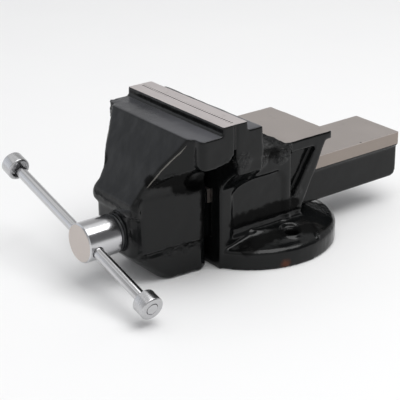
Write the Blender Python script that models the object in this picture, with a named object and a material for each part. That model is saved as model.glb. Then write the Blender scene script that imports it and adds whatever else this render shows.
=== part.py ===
"""Fixed-base bench vise, 125 mm jaws, as an assembly of separate solids.

Frame: metres, +Z up, +Y from the handle towards the anvil, +X to the right.
The origin is the centre of the round base flange on the bench plane.
"""

import math

import bmesh
import bpy
from mathutils import Matrix, Vector

# ---------------------------------------------------------------- clearances
TOUCH_GAP = 0.0003
SLIDE_CLEARANCE = 0.0005
RUNNING_CLEARANCE = 0.0005
THREAD_CLEARANCE = 0.0005
MERGE_DISTANCE = 0.000002
# How far cutters and fused roots run past the face they meet.
OVERRUN = 0.001
DRILL_PHASE = 0.37

# --------------------------------------------------------------------- jaws
JAW_WIDTH = 0.125
JAW_TOP_Z = 0.1295
JAW_PLANE_Y = -0.065
PLATE_THICKNESS = 0.011
PLATE_HEIGHT = 0.020
PLATE_PROUD = 0.007
GROOVE_PITCH = 0.003
GROOVE_DEPTH = 0.0007
GROOVE_END_MARGIN = 0.005
LIP_SETBACK = 0.0008
LIP_HEIGHT = 0.012
FIXED_LEDGE_DEPTH = 0.0155
MOVING_LEDGE_DEPTH = 0.0215
PLATE_SCREW_SPACING = 0.080
PLATE_SCREW_HEIGHT = 0.0075
PLATE_SCREW_RADIUS = 0.003
PLATE_SCREW_HEAD_RADIUS = 0.0060
PLATE_SCREW_LENGTH = 0.020
HEX_SOCKET_RADIUS = 0.0023
HEX_SOCKET_DEPTH = 0.0026

# --------------------------------------------------------------------- base
BASE_RADIUS = 0.072
BASE_CHAMFER = 0.0025
BASE_RIM_HEIGHT = 0.016
BASE_INNER_RISE = 0.008
BASE_HUB_RADIUS = 0.046
BODY_FRONT_Y = -0.0625
BENCH_HOLE_X = 0.0535
BENCH_HOLE_RADIUS = 0.0055
SPOT_FACE_RADIUS = 0.0085
SPOT_FACE_HEIGHT = 0.0205
UNDERSIDE_POCKET_WIDTH = 0.021
UNDERSIDE_POCKET_LENGTH = 0.080
UNDERSIDE_POCKET_DEPTH = 0.012
UNDERSIDE_RIB_HALF_WIDTH = 0.012

# --------------------------------------------------------------------- body
BODY_HALF_WIDTH = 0.040
BODY_LENGTH = 0.0725
ANVIL_HALF_WIDTH = 0.0388
ANVIL_TOP_Z = 0.0902
ANVIL_FRONT_Y = 0.006
ANVIL_REAR_Y = 0.0552
ANVIL_EDGE_HEIGHT = 0.0065
NECK_DROP = 0.0018
REAR_FOOT_Y = 0.0246
REAR_FOOT_Z = 0.0324
REAR_POCKET_DEPTH = 0.0055
SIDE_PANEL_DEPTH = 0.0016
SIDE_PANEL_BORDER = 0.0115
FLARE_START_Z = 0.060

# -------------------------------------------------------------------- slide
SLIDE_HALF_WIDTH = 0.02625
SLIDE_TOP_Z = 0.065
SLIDE_HEIGHT = 0.041
SLIDE_BAND_HEIGHT = 0.0118
SLIDE_SIDE_RECESS = 0.0016
SLIDE_WALL = 0.008
SLIDE_ROOF = 0.009
SLIDE_REAR_Y = 0.1463
SLIDE_REAR_CORNER = 0.005

# --------------------------------------------------------- moving jaw housing
BOX_HALF_WIDTH = 0.028
BOX_REAR_HALF_WIDTH = 0.0325
BOX_FRONT_Y = -0.136
BOX_REAR_Y = -0.068
BOX_REAR_ROLL = 0.007
BOX_FRONT_WALL = 0.014
BOX_CORNER_RADIUS = 0.009
CHIN_TOP_Z = 0.0255
CHIN_BOTTOM_Z = 0.001
CHIN_SETBACK = 0.026
CHIN_FLOOR = 0.008
CHIN_INSET = 0.001
HOOD_BULGE = 0.0022
HOOD_BOTTOM_Z = 0.0580
HOOD_ROLL = 0.007
HOOD_CORNER_RADIUS = 0.005
SHIELD_EDGE_RADIUS = 0.003
WING_SETBACK = 0.010
BLOCK_CORNER_RADIUS = 0.005
COVE_CENTRE = (0.0345, -0.0790, 0.0785)
COVE_RADII = (0.0090, 0.0125, 0.0085)

# ------------------------------------------------------------------ spindle
SPINDLE_Z = 0.039
SPINDLE_HEAD_RADIUS = 0.016
SPINDLE_HEAD_LENGTH = 0.030
SHANK_RADIUS = 0.010
THREAD_RADIUS = 0.0096
THREAD_DEPTH = 0.0019
THREAD_LEAD = 0.006
THREAD_SIDES = 12
THREAD_START_Y = -0.056
SPINDLE_TIP_Y = 0.121
THRUST_WASHER_THICKNESS = 0.0016
THRUST_WASHER_RADIUS = 0.0150
SPRING_WIRE_RADIUS = 0.0013
SPRING_LENGTH = 0.013
SPRING_TURNS = 3.5
SPRING_WASHER_THICKNESS = 0.002
SPRING_WASHER_LIMIT = 0.0148
SPRING_WASHER_PLAY = 0.0005
SPLIT_PIN_RADIUS = 0.0019
SPLIT_PIN_OVERHANG = 0.0042
SPLIT_PIN_INSET = 0.0006

# ------------------------------------------------------------------- handle
BAR_RADIUS = 0.0045
BAR_TILT = math.radians(15.6)
BAR_HOLE_SETBACK = 0.0074
BAR_LOW_REACH = 0.0822
BAR_HIGH_REACH = 0.1090
CAP_RADIUS = 0.0097
CAP_LENGTH = 0.0125
CAP_RECESS_RADIUS = 0.0070
CAP_RECESS_DEPTH = 0.0030

# ---------------------------------------------------------------------- nut
NUT_FRONT_Y = -0.047
NUT_LENGTH = 0.040
NUT_SIDE_CLEARANCE = 0.0014
NUT_STEM_RADIUS = 0.010
NUT_STEM_LENGTH = 0.012
NUT_BOLT_RADIUS = 0.004
NUT_BOLT_HEAD_RADIUS = 0.0072
NUT_BOLT_HEAD_HEIGHT = 0.0050
NUT_BOLT_WASHER_RADIUS = 0.0085
NUT_BOLT_WASHER_THICKNESS = 0.0012
NUT_BOLT_GRIP = 0.009
COUNTERBORE_DEPTH = 0.0080

# -------------------------------------------------------------- derived sizes
HALF_JAW = JAW_WIDTH / 2
LEDGE_Z = JAW_TOP_Z - PLATE_PROUD
SEAT_Z = JAW_TOP_Z - PLATE_HEIGHT
PLATE_SCREW_Z = SEAT_Z + PLATE_SCREW_HEIGHT
PLATE_BACK = PLATE_THICKNESS + 1.5 * TOUCH_GAP
JAW_BOTTOM_Z = SEAT_Z - LIP_HEIGHT
SLIDE_BOTTOM_Z = SLIDE_TOP_Z - SLIDE_HEIGHT
CHANNEL_HALF_WIDTH = SLIDE_HALF_WIDTH - SLIDE_WALL
CHANNEL_ROOF_Z = SLIDE_TOP_Z - SLIDE_ROOF
SPRING_WASHER_RADIUS = min(SPRING_WASHER_LIMIT, CHANNEL_HALF_WIDTH - SPRING_WASHER_PLAY)
SPLIT_PIN_REACH = min(SHANK_RADIUS + SPLIT_PIN_OVERHANG, SPRING_WASHER_RADIUS - SPLIT_PIN_INSET)
BODY_FLOOR_Z = SLIDE_BOTTOM_Z - SLIDE_CLEARANCE
BODY_REAR_Y = BODY_FRONT_Y + BODY_LENGTH
NECK_Z = ANVIL_TOP_Z - NECK_DROP
FRONT_WALL_INNER_Y = BOX_FRONT_Y + BOX_FRONT_WALL
SPINDLE_BORE_RADIUS = SHANK_RADIUS + RUNNING_CLEARANCE
HEAD_REAR_Y = BOX_FRONT_Y - THRUST_WASHER_THICKNESS - 2 * TOUCH_GAP
BAR_HOLE_Y = HEAD_REAR_Y - SPINDLE_HEAD_LENGTH + BAR_HOLE_SETBACK
SPRING_WASHER_Y = FRONT_WALL_INNER_Y + SPRING_LENGTH + 2 * TOUCH_GAP
SPLIT_PIN_Y = SPRING_WASHER_Y + SPRING_WASHER_THICKNESS + TOUCH_GAP + SPLIT_PIN_RADIUS
NUT_CENTRE_Y = NUT_FRONT_Y + NUT_LENGTH / 2

MATERIALS = {
    "black_paint": ((0.012, 0.013, 0.015), 0.22, 0.0),
    "ground_steel": ((0.52, 0.50, 0.47), 0.36, 1.0),
    "polished_steel": ((0.72, 0.72, 0.73), 0.14, 1.0),
    "turned_steel": ((0.55, 0.55, 0.56), 0.32, 1.0),
    "zinc_steel": ((0.45, 0.46, 0.48), 0.38, 1.0),
    "dark_screw_steel": ((0.06, 0.06, 0.065), 0.40, 1.0),
    "cast_iron": ((0.10, 0.095, 0.09), 0.60, 0.8),
    "spring_steel": ((0.22, 0.22, 0.24), 0.35, 1.0),
}


# ------------------------------------------------------------------- helpers
def clear_scene():
    """Remove every object so the script starts from an empty scene."""
    for item in list(bpy.data.objects):
        bpy.data.objects.remove(item, do_unlink=True)


def make_material(name):
    """Return the named Principled material, made on first use."""
    existing = bpy.data.materials.get(name)
    if existing is not None and existing.use_nodes:
        return existing
    colour, roughness, metallic = MATERIALS[name]
    material = bpy.data.materials.new(name)
    material.use_nodes = True
    shader = material.node_tree.nodes["Principled BSDF"]
    shader.inputs["Base Color"].default_value = (*colour, 1.0)
    shader.inputs["Roughness"].default_value = roughness
    shader.inputs["Metallic"].default_value = metallic
    return material


def object_from_bmesh(name, mesh_data, material=None):
    """Turn a bmesh into a linked object with outward normals."""
    bmesh.ops.remove_doubles(mesh_data, verts=mesh_data.verts, dist=1e-7)
    bmesh.ops.recalc_face_normals(mesh_data, faces=mesh_data.faces)
    mesh = bpy.data.meshes.new(name)
    mesh_data.to_mesh(mesh)
    mesh_data.free()
    item = bpy.data.objects.new(name, mesh)
    bpy.context.scene.collection.objects.link(item)
    if material:
        mesh.materials.append(make_material(material))
    return item


def loft(name, rings, material=None):
    """Skin a list of rings with equal point counts and cap both ends."""
    data = bmesh.new()
    loops = [[data.verts.new(point) for point in ring] for ring in rings]
    count = len(loops[0])
    for lower, upper in zip(loops, loops[1:]):
        for index in range(count):
            after = (index + 1) % count
            data.faces.new((lower[index], lower[after], upper[after], upper[index]))
    data.faces.new(loops[0])
    data.faces.new(loops[-1])
    return object_from_bmesh(name, data, material)


def prism(name, outline, start, end, axis, material=None):
    """Extrude a flat outline along X, Y or Z between two coordinates."""
    def place(point, along):
        if axis == "X":
            return Vector((along, point[0], point[1]))
        if axis == "Y":
            return Vector((point[0], along, point[1]))
        return Vector((point[0], point[1], along))

    rings = [[place(point, along) for point in outline] for along in (start, end)]
    return loft(name, rings, material)


def block(name, low, high, material=None):
    """Make a box between two corners."""
    outline = [(low[0], low[1]), (high[0], low[1]), (high[0], high[1]), (low[0], high[1])]
    return prism(name, outline, low[2], high[2], "Z", material)


def lathe(name, profile, segments, axis="Y", material=None, phase=0.0):
    """Turn (along, radius) points about X, Y or Z; end radii of zero close on the axis."""
    data = bmesh.new()

    def place(along, radius, angle):
        first = radius * math.cos(angle)
        second = radius * math.sin(angle)
        if axis == "X":
            return Vector((along, first, second))
        if axis == "Y":
            return Vector((second, along, first))
        return Vector((first, second, along))

    columns = []
    for along, radius in profile:
        if radius <= 0.0:
            columns.append([data.verts.new(place(along, 0.0, 0.0))])
            continue
        steps = [math.tau * (index + phase) / segments for index in range(segments)]
        columns.append([data.verts.new(place(along, radius, angle)) for angle in steps])
    for left, right in zip(columns, columns[1:]):
        for index in range(segments):
            after = (index + 1) % segments
            corners = [left[index % len(left)], left[after % len(left)],
                       right[after % len(right)], right[index % len(right)]]
            unique = list(dict.fromkeys(corners))
            if len(unique) >= 3:
                data.faces.new(unique)
    return object_from_bmesh(name, data, material)


def ring(name, inner, outer, start, end, segments, axis="Y", material=None):
    """Make a flat washer or sleeve by turning a closed rectangle."""
    profile = [(start, inner), (start, outer), (end, outer), (end, inner), (start, inner)]
    return lathe(name, profile, segments, axis, material)


def rod(name, radius, start, end, segments, axis="Y", material=None):
    """Make a plain round bar along an axis through the origin."""
    profile = [(start, 0.0), (start, radius), (end, radius), (end, 0.0)]
    return lathe(name, profile, segments, axis, material)


def drill(name, radius, start, end, segments, axis="Y"):
    """Make a round cutter whose corners avoid the corners of turned pieces."""
    profile = [(start, 0.0), (start, radius), (end, radius), (end, 0.0)]
    return lathe(name, profile, segments, axis, None, DRILL_PHASE)


def moved(item, offset):
    """Shift an object's mesh and return the object."""
    item.data.transform(Matrix.Translation(Vector(offset)))
    return item


def combine(target, tool, operation):
    """Apply one exact Boolean and remove the tool object."""
    modifier = target.modifiers.new("combine", "BOOLEAN")
    modifier.operation = operation
    modifier.solver = "EXACT"
    modifier.object = tool
    graph = bpy.context.evaluated_depsgraph_get()
    result = bpy.data.meshes.new_from_object(target.evaluated_get(graph))
    target.modifiers.clear()
    old = target.data
    target.data = result
    tidy = bmesh.new()
    tidy.from_mesh(result)
    bmesh.ops.remove_doubles(tidy, verts=tidy.verts, dist=MERGE_DISTANCE)
    bmesh.ops.dissolve_degenerate(tidy, edges=tidy.edges, dist=MERGE_DISTANCE)
    tidy.to_mesh(result)
    tidy.free()
    bpy.data.meshes.remove(old)
    bpy.data.objects.remove(tool, do_unlink=True)
    return target


def cut(target, tool):
    """Subtract the tool from the target."""
    return combine(target, tool, "DIFFERENCE")


def fuse(target, tool):
    """Join the tool to the target as one body."""
    return combine(target, tool, "UNION")


def set_material(item, material):
    """Give every face of an object one material."""
    item.data.materials.clear()
    item.data.materials.append(make_material(material))
    for polygon in item.data.polygons:
        polygon.material_index = 0
    return item


def smooth_round(item, degrees=35):
    """Shade smooth with hard edges kept sharp."""
    item.data.shade_smooth()
    item.data.set_sharp_from_angle(angle=math.radians(degrees))
    return item


def arc(centre, radius, start_degrees, end_degrees, steps):
    """Return points along an arc, both ends included."""
    points = []
    for index in range(steps + 1):
        angle = math.radians(start_degrees + (end_degrees - start_degrees) * index / steps)
        points.append((centre[0] + radius * math.cos(angle), centre[1] + radius * math.sin(angle)))
    return points


def mirrored(points):
    """Close a right-half outline (front to back) with its left-half mirror image."""
    return points + [(-x, y) for x, y in reversed(points)]


def axis_empty(name, location, tilt=0.0):
    """Add an empty on a joint's axis, turned about Y."""
    empty = bpy.data.objects.new(name, None)
    empty.empty_display_size = 0.02
    empty.location = location
    empty.rotation_euler = (0.0, tilt, 0.0)
    bpy.context.scene.collection.objects.link(empty)
    return empty


# --------------------------------------------------------------- fixed body
def base_flange():
    """Round bench flange: straight rim, chamfered edge, top rising to the hub."""
    hub_z = BASE_RIM_HEIGHT + BASE_INNER_RISE
    profile = [
        (0.0, 0.0),
        (0.0, BASE_RADIUS),
        (BASE_RIM_HEIGHT - BASE_CHAMFER, BASE_RADIUS),
        (BASE_RIM_HEIGHT, BASE_RADIUS - BASE_CHAMFER),
        (BASE_RIM_HEIGHT + BASE_CHAMFER / 2, BASE_RADIUS - 3 * BASE_CHAMFER),
        (hub_z, BASE_HUB_RADIUS),
        (hub_z, 0.0),
    ]
    flange = lathe("flange", profile, 72, "Z")
    reach = BASE_RADIUS * 2
    front = block("front_cut", (-reach, -reach, -0.01), (reach, BODY_FRONT_Y, reach))
    return cut(flange, front)


def body_core():
    """Main block around the slide, from the bench to the neck."""
    return block(
        "fixed_body",
        (-BODY_HALF_WIDTH, BODY_FRONT_Y, 0.0),
        (BODY_HALF_WIDTH, BODY_REAR_Y, NECK_Z),
    )


def anvil():
    """Anvil with its overhanging edge and the slanted rear face below it."""
    edge_z = ANVIL_TOP_Z - ANVIL_EDGE_HEIGHT
    knee = ((ANVIL_REAR_Y + REAR_FOOT_Y) / 2 - 0.001, (edge_z + REAR_FOOT_Z) / 2 + 0.002)
    outline = [
        (ANVIL_FRONT_Y, 0.010),
        (ANVIL_FRONT_Y, ANVIL_TOP_Z),
        (ANVIL_REAR_Y, ANVIL_TOP_Z),
        (ANVIL_REAR_Y, edge_z),
        (ANVIL_REAR_Y - 0.006, edge_z),
        knee,
        (REAR_FOOT_Y, REAR_FOOT_Z),
        (REAR_FOOT_Y - 0.004, 0.010),
    ]
    return prism("anvil", outline, -ANVIL_HALF_WIDTH, ANVIL_HALF_WIDTH, "X")


def fixed_jaw_block():
    """Upright block behind the fixed jaw plate, with the plate's seat."""
    seat_y = JAW_PLANE_Y + PLATE_BACK
    rear_y = JAW_PLANE_Y + PLATE_THICKNESS + FIXED_LEDGE_DEPTH
    lip_y = JAW_PLANE_Y + LIP_SETBACK
    outline = [
        (lip_y, JAW_BOTTOM_Z),
        (lip_y, SEAT_Z - TOUCH_GAP),
        (seat_y, SEAT_Z - TOUCH_GAP),
        (seat_y, LEDGE_Z),
        (rear_y, LEDGE_Z),
        (rear_y + OVERRUN, JAW_BOTTOM_Z),
    ]
    return prism("jaw_block", outline, -HALF_JAW, HALF_JAW, "X")


def jaw_gussets():
    """Flared webs that carry the wide jaw block on the narrower body."""
    rear_y = JAW_PLANE_Y + PLATE_THICKNESS + FIXED_LEDGE_DEPTH
    neck = BODY_REAR_Y - 0.004 - rear_y
    spread = HALF_JAW - BODY_HALF_WIDTH - TOUCH_GAP
    top_z = JAW_BOTTOM_Z + 2 * OVERRUN
    levels = 6
    rings = []
    for level in range(levels + 1):
        share = level / levels
        z = FLARE_START_Z + (min(NECK_Z, top_z) - FLARE_START_Z) * share
        flare = spread * share ** 1.8
        base = BODY_HALF_WIDTH - 0.002
        half = [
            (base + flare, BODY_FRONT_Y + 0.0005),
            (base + flare, rear_y),
            (base + flare * 0.62, rear_y + neck * 0.16),
            (base + flare * 0.30, rear_y + neck * 0.38),
            (base + flare * 0.10, rear_y + neck * 0.66),
            (base - 0.004, rear_y + neck),
        ]
        rings.append([Vector((x, y, z)) for x, y in mirrored(half)])
    return loft("gussets", rings)


def jaw_root():
    """Solid between the neck and the fixed jaw block, full jaw width."""
    rear_y = JAW_PLANE_Y + PLATE_THICKNESS + FIXED_LEDGE_DEPTH
    return block(
        "jaw_root",
        (-HALF_JAW + TOUCH_GAP, BODY_FRONT_Y + 0.0005, NECK_Z - OVERRUN),
        (HALF_JAW - TOUCH_GAP, rear_y, JAW_BOTTOM_Z + 2 * OVERRUN),
    )


def side_panel_cutter(side):
    """Shallow recess in one side wall of the body."""
    low_z = BASE_RIM_HEIGHT + BASE_INNER_RISE
    front_y = BODY_FRONT_Y + SIDE_PANEL_BORDER
    rear_y = BODY_REAR_Y - SIDE_PANEL_BORDER / 2
    outline = [
        (front_y, low_z),
        (front_y, FLARE_START_Z + 0.003),
        (front_y + 0.008, FLARE_START_Z + 0.008),
        (front_y + 0.014, FLARE_START_Z + 0.010),
        (rear_y - 0.006, FLARE_START_Z + 0.010),
        (rear_y, FLARE_START_Z + 0.002),
        (rear_y, low_z),
    ]
    inner = side * (BODY_HALF_WIDTH - SIDE_PANEL_DEPTH)
    return prism("side_panel", outline, inner, side * (BODY_HALF_WIDTH + 0.0008), "X")


def rear_pocket_cutter(side):
    """Triangular pocket under the anvil on one side."""
    top_z = ANVIL_TOP_Z - ANVIL_EDGE_HEIGHT - 0.003
    outline = [
        (BODY_REAR_Y + 0.0015, top_z),
        (ANVIL_REAR_Y - 0.0168, top_z),
        (BODY_REAR_Y + 0.004, REAR_FOOT_Z + 0.009),
        (BODY_REAR_Y + 0.0015, REAR_FOOT_Z + 0.013),
    ]
    inner = side * (ANVIL_HALF_WIDTH - REAR_POCKET_DEPTH)
    return prism("rear_pocket", outline, inner, side * (BODY_HALF_WIDTH + 0.005), "X")


def cut_bench_hole(body, side):
    """Raise a spot-faced boss on the flange and drill the bench bolt hole."""
    boss = drill("boss", SPOT_FACE_RADIUS, 0.004, SPOT_FACE_HEIGHT + 2 * OVERRUN, 28, "Z")
    fuse(body, moved(boss, (side * BENCH_HOLE_X, 0.0, 0.0)))
    above = drill("spot_face", SPOT_FACE_RADIUS + 0.0008, SPOT_FACE_HEIGHT, 0.05, 32, "Z")
    cut(body, moved(above, (side * BENCH_HOLE_X, 0.0, 0.0)))
    hole = drill("bench_hole", BENCH_HOLE_RADIUS, -0.01, 0.05, 28, "Z")
    return cut(body, moved(hole, (side * BENCH_HOLE_X, 0.0, 0.0)))


def cut_underside(body):
    """Relieve the underside beside the centre rib."""
    for side in (-1, 1):
        inner = side * UNDERSIDE_RIB_HALF_WIDTH
        outer = side * (UNDERSIDE_RIB_HALF_WIDTH + UNDERSIDE_POCKET_WIDTH)
        half = UNDERSIDE_POCKET_LENGTH / 2
        low = (min(inner, outer), -half, -0.01)
        high = (max(inner, outer), half, UNDERSIDE_POCKET_DEPTH)
        cut(body, block("underside_pocket", low, high))
    return body


def cut_slide_channel(body):
    """Cut the rectangular way that the slide runs in."""
    half = SLIDE_HALF_WIDTH + SLIDE_CLEARANCE
    low = (-half, BODY_FRONT_Y - 0.02, BODY_FLOOR_Z)
    high = (half, ANVIL_REAR_Y + 0.05, SLIDE_TOP_Z + SLIDE_CLEARANCE)
    return cut(body, block("slide_way", low, high))


def cut_nut_seat(body):
    """Bore the floor for the nut's stem, its bolt and the bolt's counterbore."""
    stem_floor = BODY_FLOOR_Z - NUT_STEM_LENGTH
    steps = [
        (NUT_STEM_RADIUS + TOUCH_GAP, stem_floor - TOUCH_GAP, BODY_FLOOR_Z + 2 * OVERRUN),
        (NUT_BOLT_RADIUS + TOUCH_GAP, -OVERRUN, BODY_FLOOR_Z),
        (NUT_BOLT_WASHER_RADIUS + RUNNING_CLEARANCE, -2 * OVERRUN, COUNTERBORE_DEPTH),
    ]
    for radius, low, high in steps:
        tool = moved(drill("seat", radius, low, high, 28, "Z"), (0.0, NUT_CENTRE_Y, 0.0))
        cut(body, tool)
    return body


def drill_plate_screw_holes(jaw, direction):
    """Drill blind screw holes from the jaw plane into one jaw casting."""
    depth = PLATE_SCREW_LENGTH + 0.003
    for side in (-1, 1):
        start = JAW_PLANE_Y - OVERRUN * direction
        tool = drill("screw_hole", PLATE_SCREW_RADIUS + TOUCH_GAP, start, JAW_PLANE_Y + direction * depth, 20)
        cut(jaw, moved(tool, (side * PLATE_SCREW_SPACING / 2, 0.0, PLATE_SCREW_Z)))
    return jaw


def make_fixed_body():
    """Casting with base flange, slide way, fixed jaw and anvil."""
    body = body_core()
    fuse(body, anvil())
    fuse(body, jaw_gussets())
    fuse(body, jaw_root())
    fuse(body, fixed_jaw_block())
    for side in (-1, 1):
        cut(body, side_panel_cutter(side))
        cut(body, rear_pocket_cutter(side))
    fuse(body, base_flange())
    for side in (-1, 1):
        cut_bench_hole(body, side)
    cut_slide_channel(body)
    cut_nut_seat(body)
    cut_underside(body)
    drill_plate_screw_holes(body, 1)
    return set_material(body, "black_paint")


# --------------------------------------------------------------- moving jaw
def box_half_width(y):
    """Half width of the tapering housing at one Y."""
    share = (y - BOX_FRONT_Y) / (BOX_REAR_Y - BOX_FRONT_Y)
    return BOX_HALF_WIDTH + (BOX_REAR_HALF_WIDTH - BOX_HALF_WIDTH) * share


def housing_row(z, front_y, inset, bulge=0.0):
    """Plan section of the housing below the jaw block, pulled in by an inset."""
    front_half = box_half_width(front_y) - inset + bulge
    side_y = front_y + HOOD_ROLL
    cove_y = (front_y + BOX_REAR_Y) / 2
    return (
        z,
        (front_half, front_y - bulge / 2),
        (box_half_width(side_y) - inset, side_y),
        (box_half_width(cove_y) - inset, cove_y),
        (BOX_REAR_HALF_WIDTH - inset, BOX_REAR_Y),
    )


def shield_sections():
    """Plan sections of the sloping front, from the chin up to the jaw ledge.

    Each row is a height, then the front corner, the wing's edge, the cove under
    the jaw block and the rear corner as (half width, Y) pairs.
    """
    front = BOX_FRONT_Y
    box = BOX_HALF_WIDTH
    block_front = JAW_PLANE_Y - PLATE_THICKNESS - MOVING_LEDGE_DEPTH
    wing = HALF_JAW - WING_SETBACK
    rear_half = BOX_REAR_HALF_WIDTH
    inner_y = JAW_PLANE_Y - PLATE_BACK - OVERRUN
    return [
        housing_row(CHIN_BOTTOM_Z, front + CHIN_SETBACK, CHIN_INSET),
        housing_row(CHIN_TOP_Z - 0.008, front + 0.007, CHIN_INSET),
        housing_row(CHIN_TOP_Z - 0.001, front, CHIN_INSET),
        housing_row(CHIN_TOP_Z, front, 0.0),
        housing_row(HOOD_BOTTOM_Z, front, 0.0),
        housing_row(HOOD_BOTTOM_Z + 0.002, front, 0.0, HOOD_BULGE * 0.8),
        housing_row(HOOD_BOTTOM_Z + 0.007, front, 0.0, HOOD_BULGE),
        housing_row(HOOD_BOTTOM_Z + 0.012, front, 0.0, HOOD_BULGE * 0.4),
        housing_row(HOOD_BOTTOM_Z + 0.017, front + 0.0045, 0.001),
        (JAW_BOTTOM_Z - 0.015, (box + 0.0008, front + 0.0095), (box + 0.002, front + 0.015),
         (box + 0.0030, front + 0.036), (rear_half + 0.0005, BOX_REAR_Y)),
        (JAW_BOTTOM_Z - 0.010, (box + 0.0034, front + 0.0125), (box + 0.0065, front + 0.018),
         (box + 0.0040, front + 0.035), (rear_half + 0.0015, BOX_REAR_Y)),
        (JAW_BOTTOM_Z - 0.005, (box + 0.0064, front + 0.0151), (box + 0.0145, front + 0.025),
         (box + 0.0065, front + 0.036), (rear_half + 0.004, BOX_REAR_Y)),
        (JAW_BOTTOM_Z, (box + 0.0091, front + 0.0179), (wing, block_front),
         (wing - 0.001, block_front + 0.006), (wing, inner_y)),
        (JAW_BOTTOM_Z + 0.008, (box + 0.0138, front + 0.0240), (wing, block_front),
         (wing, block_front + 0.006), (wing, inner_y)),
        (JAW_BOTTOM_Z + 0.015, (box + 0.0187, front + 0.0291), (wing, block_front),
         (wing, block_front + 0.006), (wing, inner_y)),
        (LEDGE_Z, (box + 0.0240, block_front - 0.0035), (wing + 0.001, block_front),
         (wing, block_front + 0.006), (wing, inner_y)),
    ]


def shield_ring(z, front, wing, cove, rear):
    """One closed plan section of the front housing."""
    if z < HOOD_BOTTOM_Z + 0.0005:
        radius = BOX_CORNER_RADIUS
    elif z < HOOD_BOTTOM_Z + 0.014:
        radius = HOOD_CORNER_RADIUS
    else:
        radius = SHIELD_EDGE_RADIUS
    half = [(0.0, front[1])]
    half += arc((front[0] - radius, front[1] + radius), radius, -90, -12, 4)
    half += [wing, cove]
    half += [(rear[0], rear[1] - BOX_REAR_ROLL), (rear[0] - BOX_REAR_ROLL * 0.6, rear[1])]
    left = [(-x, y) for x, y in reversed(half[1:])]
    return [Vector((x, y, z)) for x, y in half + left]


def moving_jaw_block():
    """Wide block behind the moving jaw plate, with the plate's seat."""
    seat_y = JAW_PLANE_Y - PLATE_BACK
    ledge_front = JAW_PLANE_Y - PLATE_THICKNESS - MOVING_LEDGE_DEPTH
    lip_y = JAW_PLANE_Y - LIP_SETBACK
    outline = [
        (ledge_front, LEDGE_Z),
        (seat_y, LEDGE_Z),
        (seat_y, SEAT_Z - TOUCH_GAP),
        (lip_y, SEAT_Z - TOUCH_GAP),
        (lip_y, SEAT_Z - 0.003),
        (lip_y - 0.005, JAW_BOTTOM_Z + 0.003),
        (lip_y - 0.014, JAW_BOTTOM_Z + 0.0015),
        (ledge_front + 0.004, JAW_BOTTOM_Z + 0.001),
        (ledge_front, JAW_BOTTOM_Z + 0.003),
    ]
    jaw_block = prism("moving_block", outline, -HALF_JAW, HALF_JAW, "X")
    radius = BLOCK_CORNER_RADIUS
    reach = HALF_JAW * 2
    corner = arc((HALF_JAW - radius, ledge_front + radius), radius, -90, 0, 5)
    plan = mirrored(corner + [(HALF_JAW, reach)])
    rounding = prism("block_plan", plan, JAW_BOTTOM_Z - 0.01, LEDGE_Z + 0.01, "Z")
    return combine(jaw_block, rounding, "INTERSECT")


def slide_bar():
    """Rectangular slide with a full-width ground band and recessed lower sides."""
    band_z = SLIDE_TOP_Z - SLIDE_BAND_HEIGHT
    low_half = SLIDE_HALF_WIDTH - SLIDE_SIDE_RECESS
    half = [
        (low_half, SLIDE_BOTTOM_Z),
        (low_half, band_z - SLIDE_SIDE_RECESS),
        (SLIDE_HALF_WIDTH, band_z),
        (SLIDE_HALF_WIDTH, SLIDE_TOP_Z),
    ]
    bar = prism("slide", mirrored(half), BOX_REAR_Y - 0.02, SLIDE_REAR_Y, "Y")
    corner = SLIDE_REAR_CORNER
    outline = [
        (SLIDE_REAR_Y + OVERRUN, SLIDE_BOTTOM_Z - OVERRUN),
        (SLIDE_REAR_Y - corner, SLIDE_BOTTOM_Z - OVERRUN),
        (SLIDE_REAR_Y - corner, SLIDE_BOTTOM_Z),
        (SLIDE_REAR_Y - corner * 0.29, SLIDE_BOTTOM_Z + corner * 0.29),
        (SLIDE_REAR_Y, SLIDE_BOTTOM_Z + corner),
        (SLIDE_REAR_Y + OVERRUN, SLIDE_BOTTOM_Z + corner),
    ]
    return cut(bar, prism("rear_corner", outline, -0.1, 0.1, "X"))


def channel_cutter():
    """Hollow of the slide and housing, open below and behind."""
    floor_z = CHIN_BOTTOM_Z + CHIN_FLOOR
    slope = CHIN_TOP_Z - floor_z
    outline = [
        (FRONT_WALL_INNER_Y, CHANNEL_ROOF_Z),
        (SLIDE_REAR_Y + 0.01, CHANNEL_ROOF_Z),
        (SLIDE_REAR_Y + 0.01, floor_z),
        (FRONT_WALL_INNER_Y + slope + 2 * OVERRUN, floor_z),
        (FRONT_WALL_INNER_Y, CHIN_TOP_Z + 2 * OVERRUN),
    ]
    return prism("channel", outline, -CHANNEL_HALF_WIDTH, CHANNEL_HALF_WIDTH, "X")


def cove_cutter(side):
    """Egg-shaped hollow under one end of the jaw block."""
    steps = 10
    profile = []
    for index in range(steps + 1):
        angle = math.pi * index / steps
        profile.append((-math.cos(angle), max(0.0, round(math.sin(angle), 9))))
    egg = lathe("cove", profile, 20, "Y", None, DRILL_PHASE)
    egg.data.transform(Matrix.Diagonal((*COVE_RADII, 1.0)))
    return moved(egg, (side * COVE_CENTRE[0], COVE_CENTRE[1], COVE_CENTRE[2]))


def make_moving_jaw():
    """Casting with jaw block, sloping front, spindle housing and long slide."""
    rings = [shield_ring(*row) for row in shield_sections()]
    jaw = loft("moving_jaw", rings)
    for side in (-1, 1):
        cut(jaw, cove_cutter(side))
    fuse(jaw, moving_jaw_block())
    fuse(jaw, slide_bar())
    cut(jaw, channel_cutter())
    bore = drill("bore", SPINDLE_BORE_RADIUS, BOX_FRONT_Y - 0.02, FRONT_WALL_INNER_Y + 2 * OVERRUN, 32)
    cut(jaw, moved(bore, (0.0, 0.0, SPINDLE_Z)))
    drill_plate_screw_holes(jaw, -1)
    return set_material(jaw, "black_paint")


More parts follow.
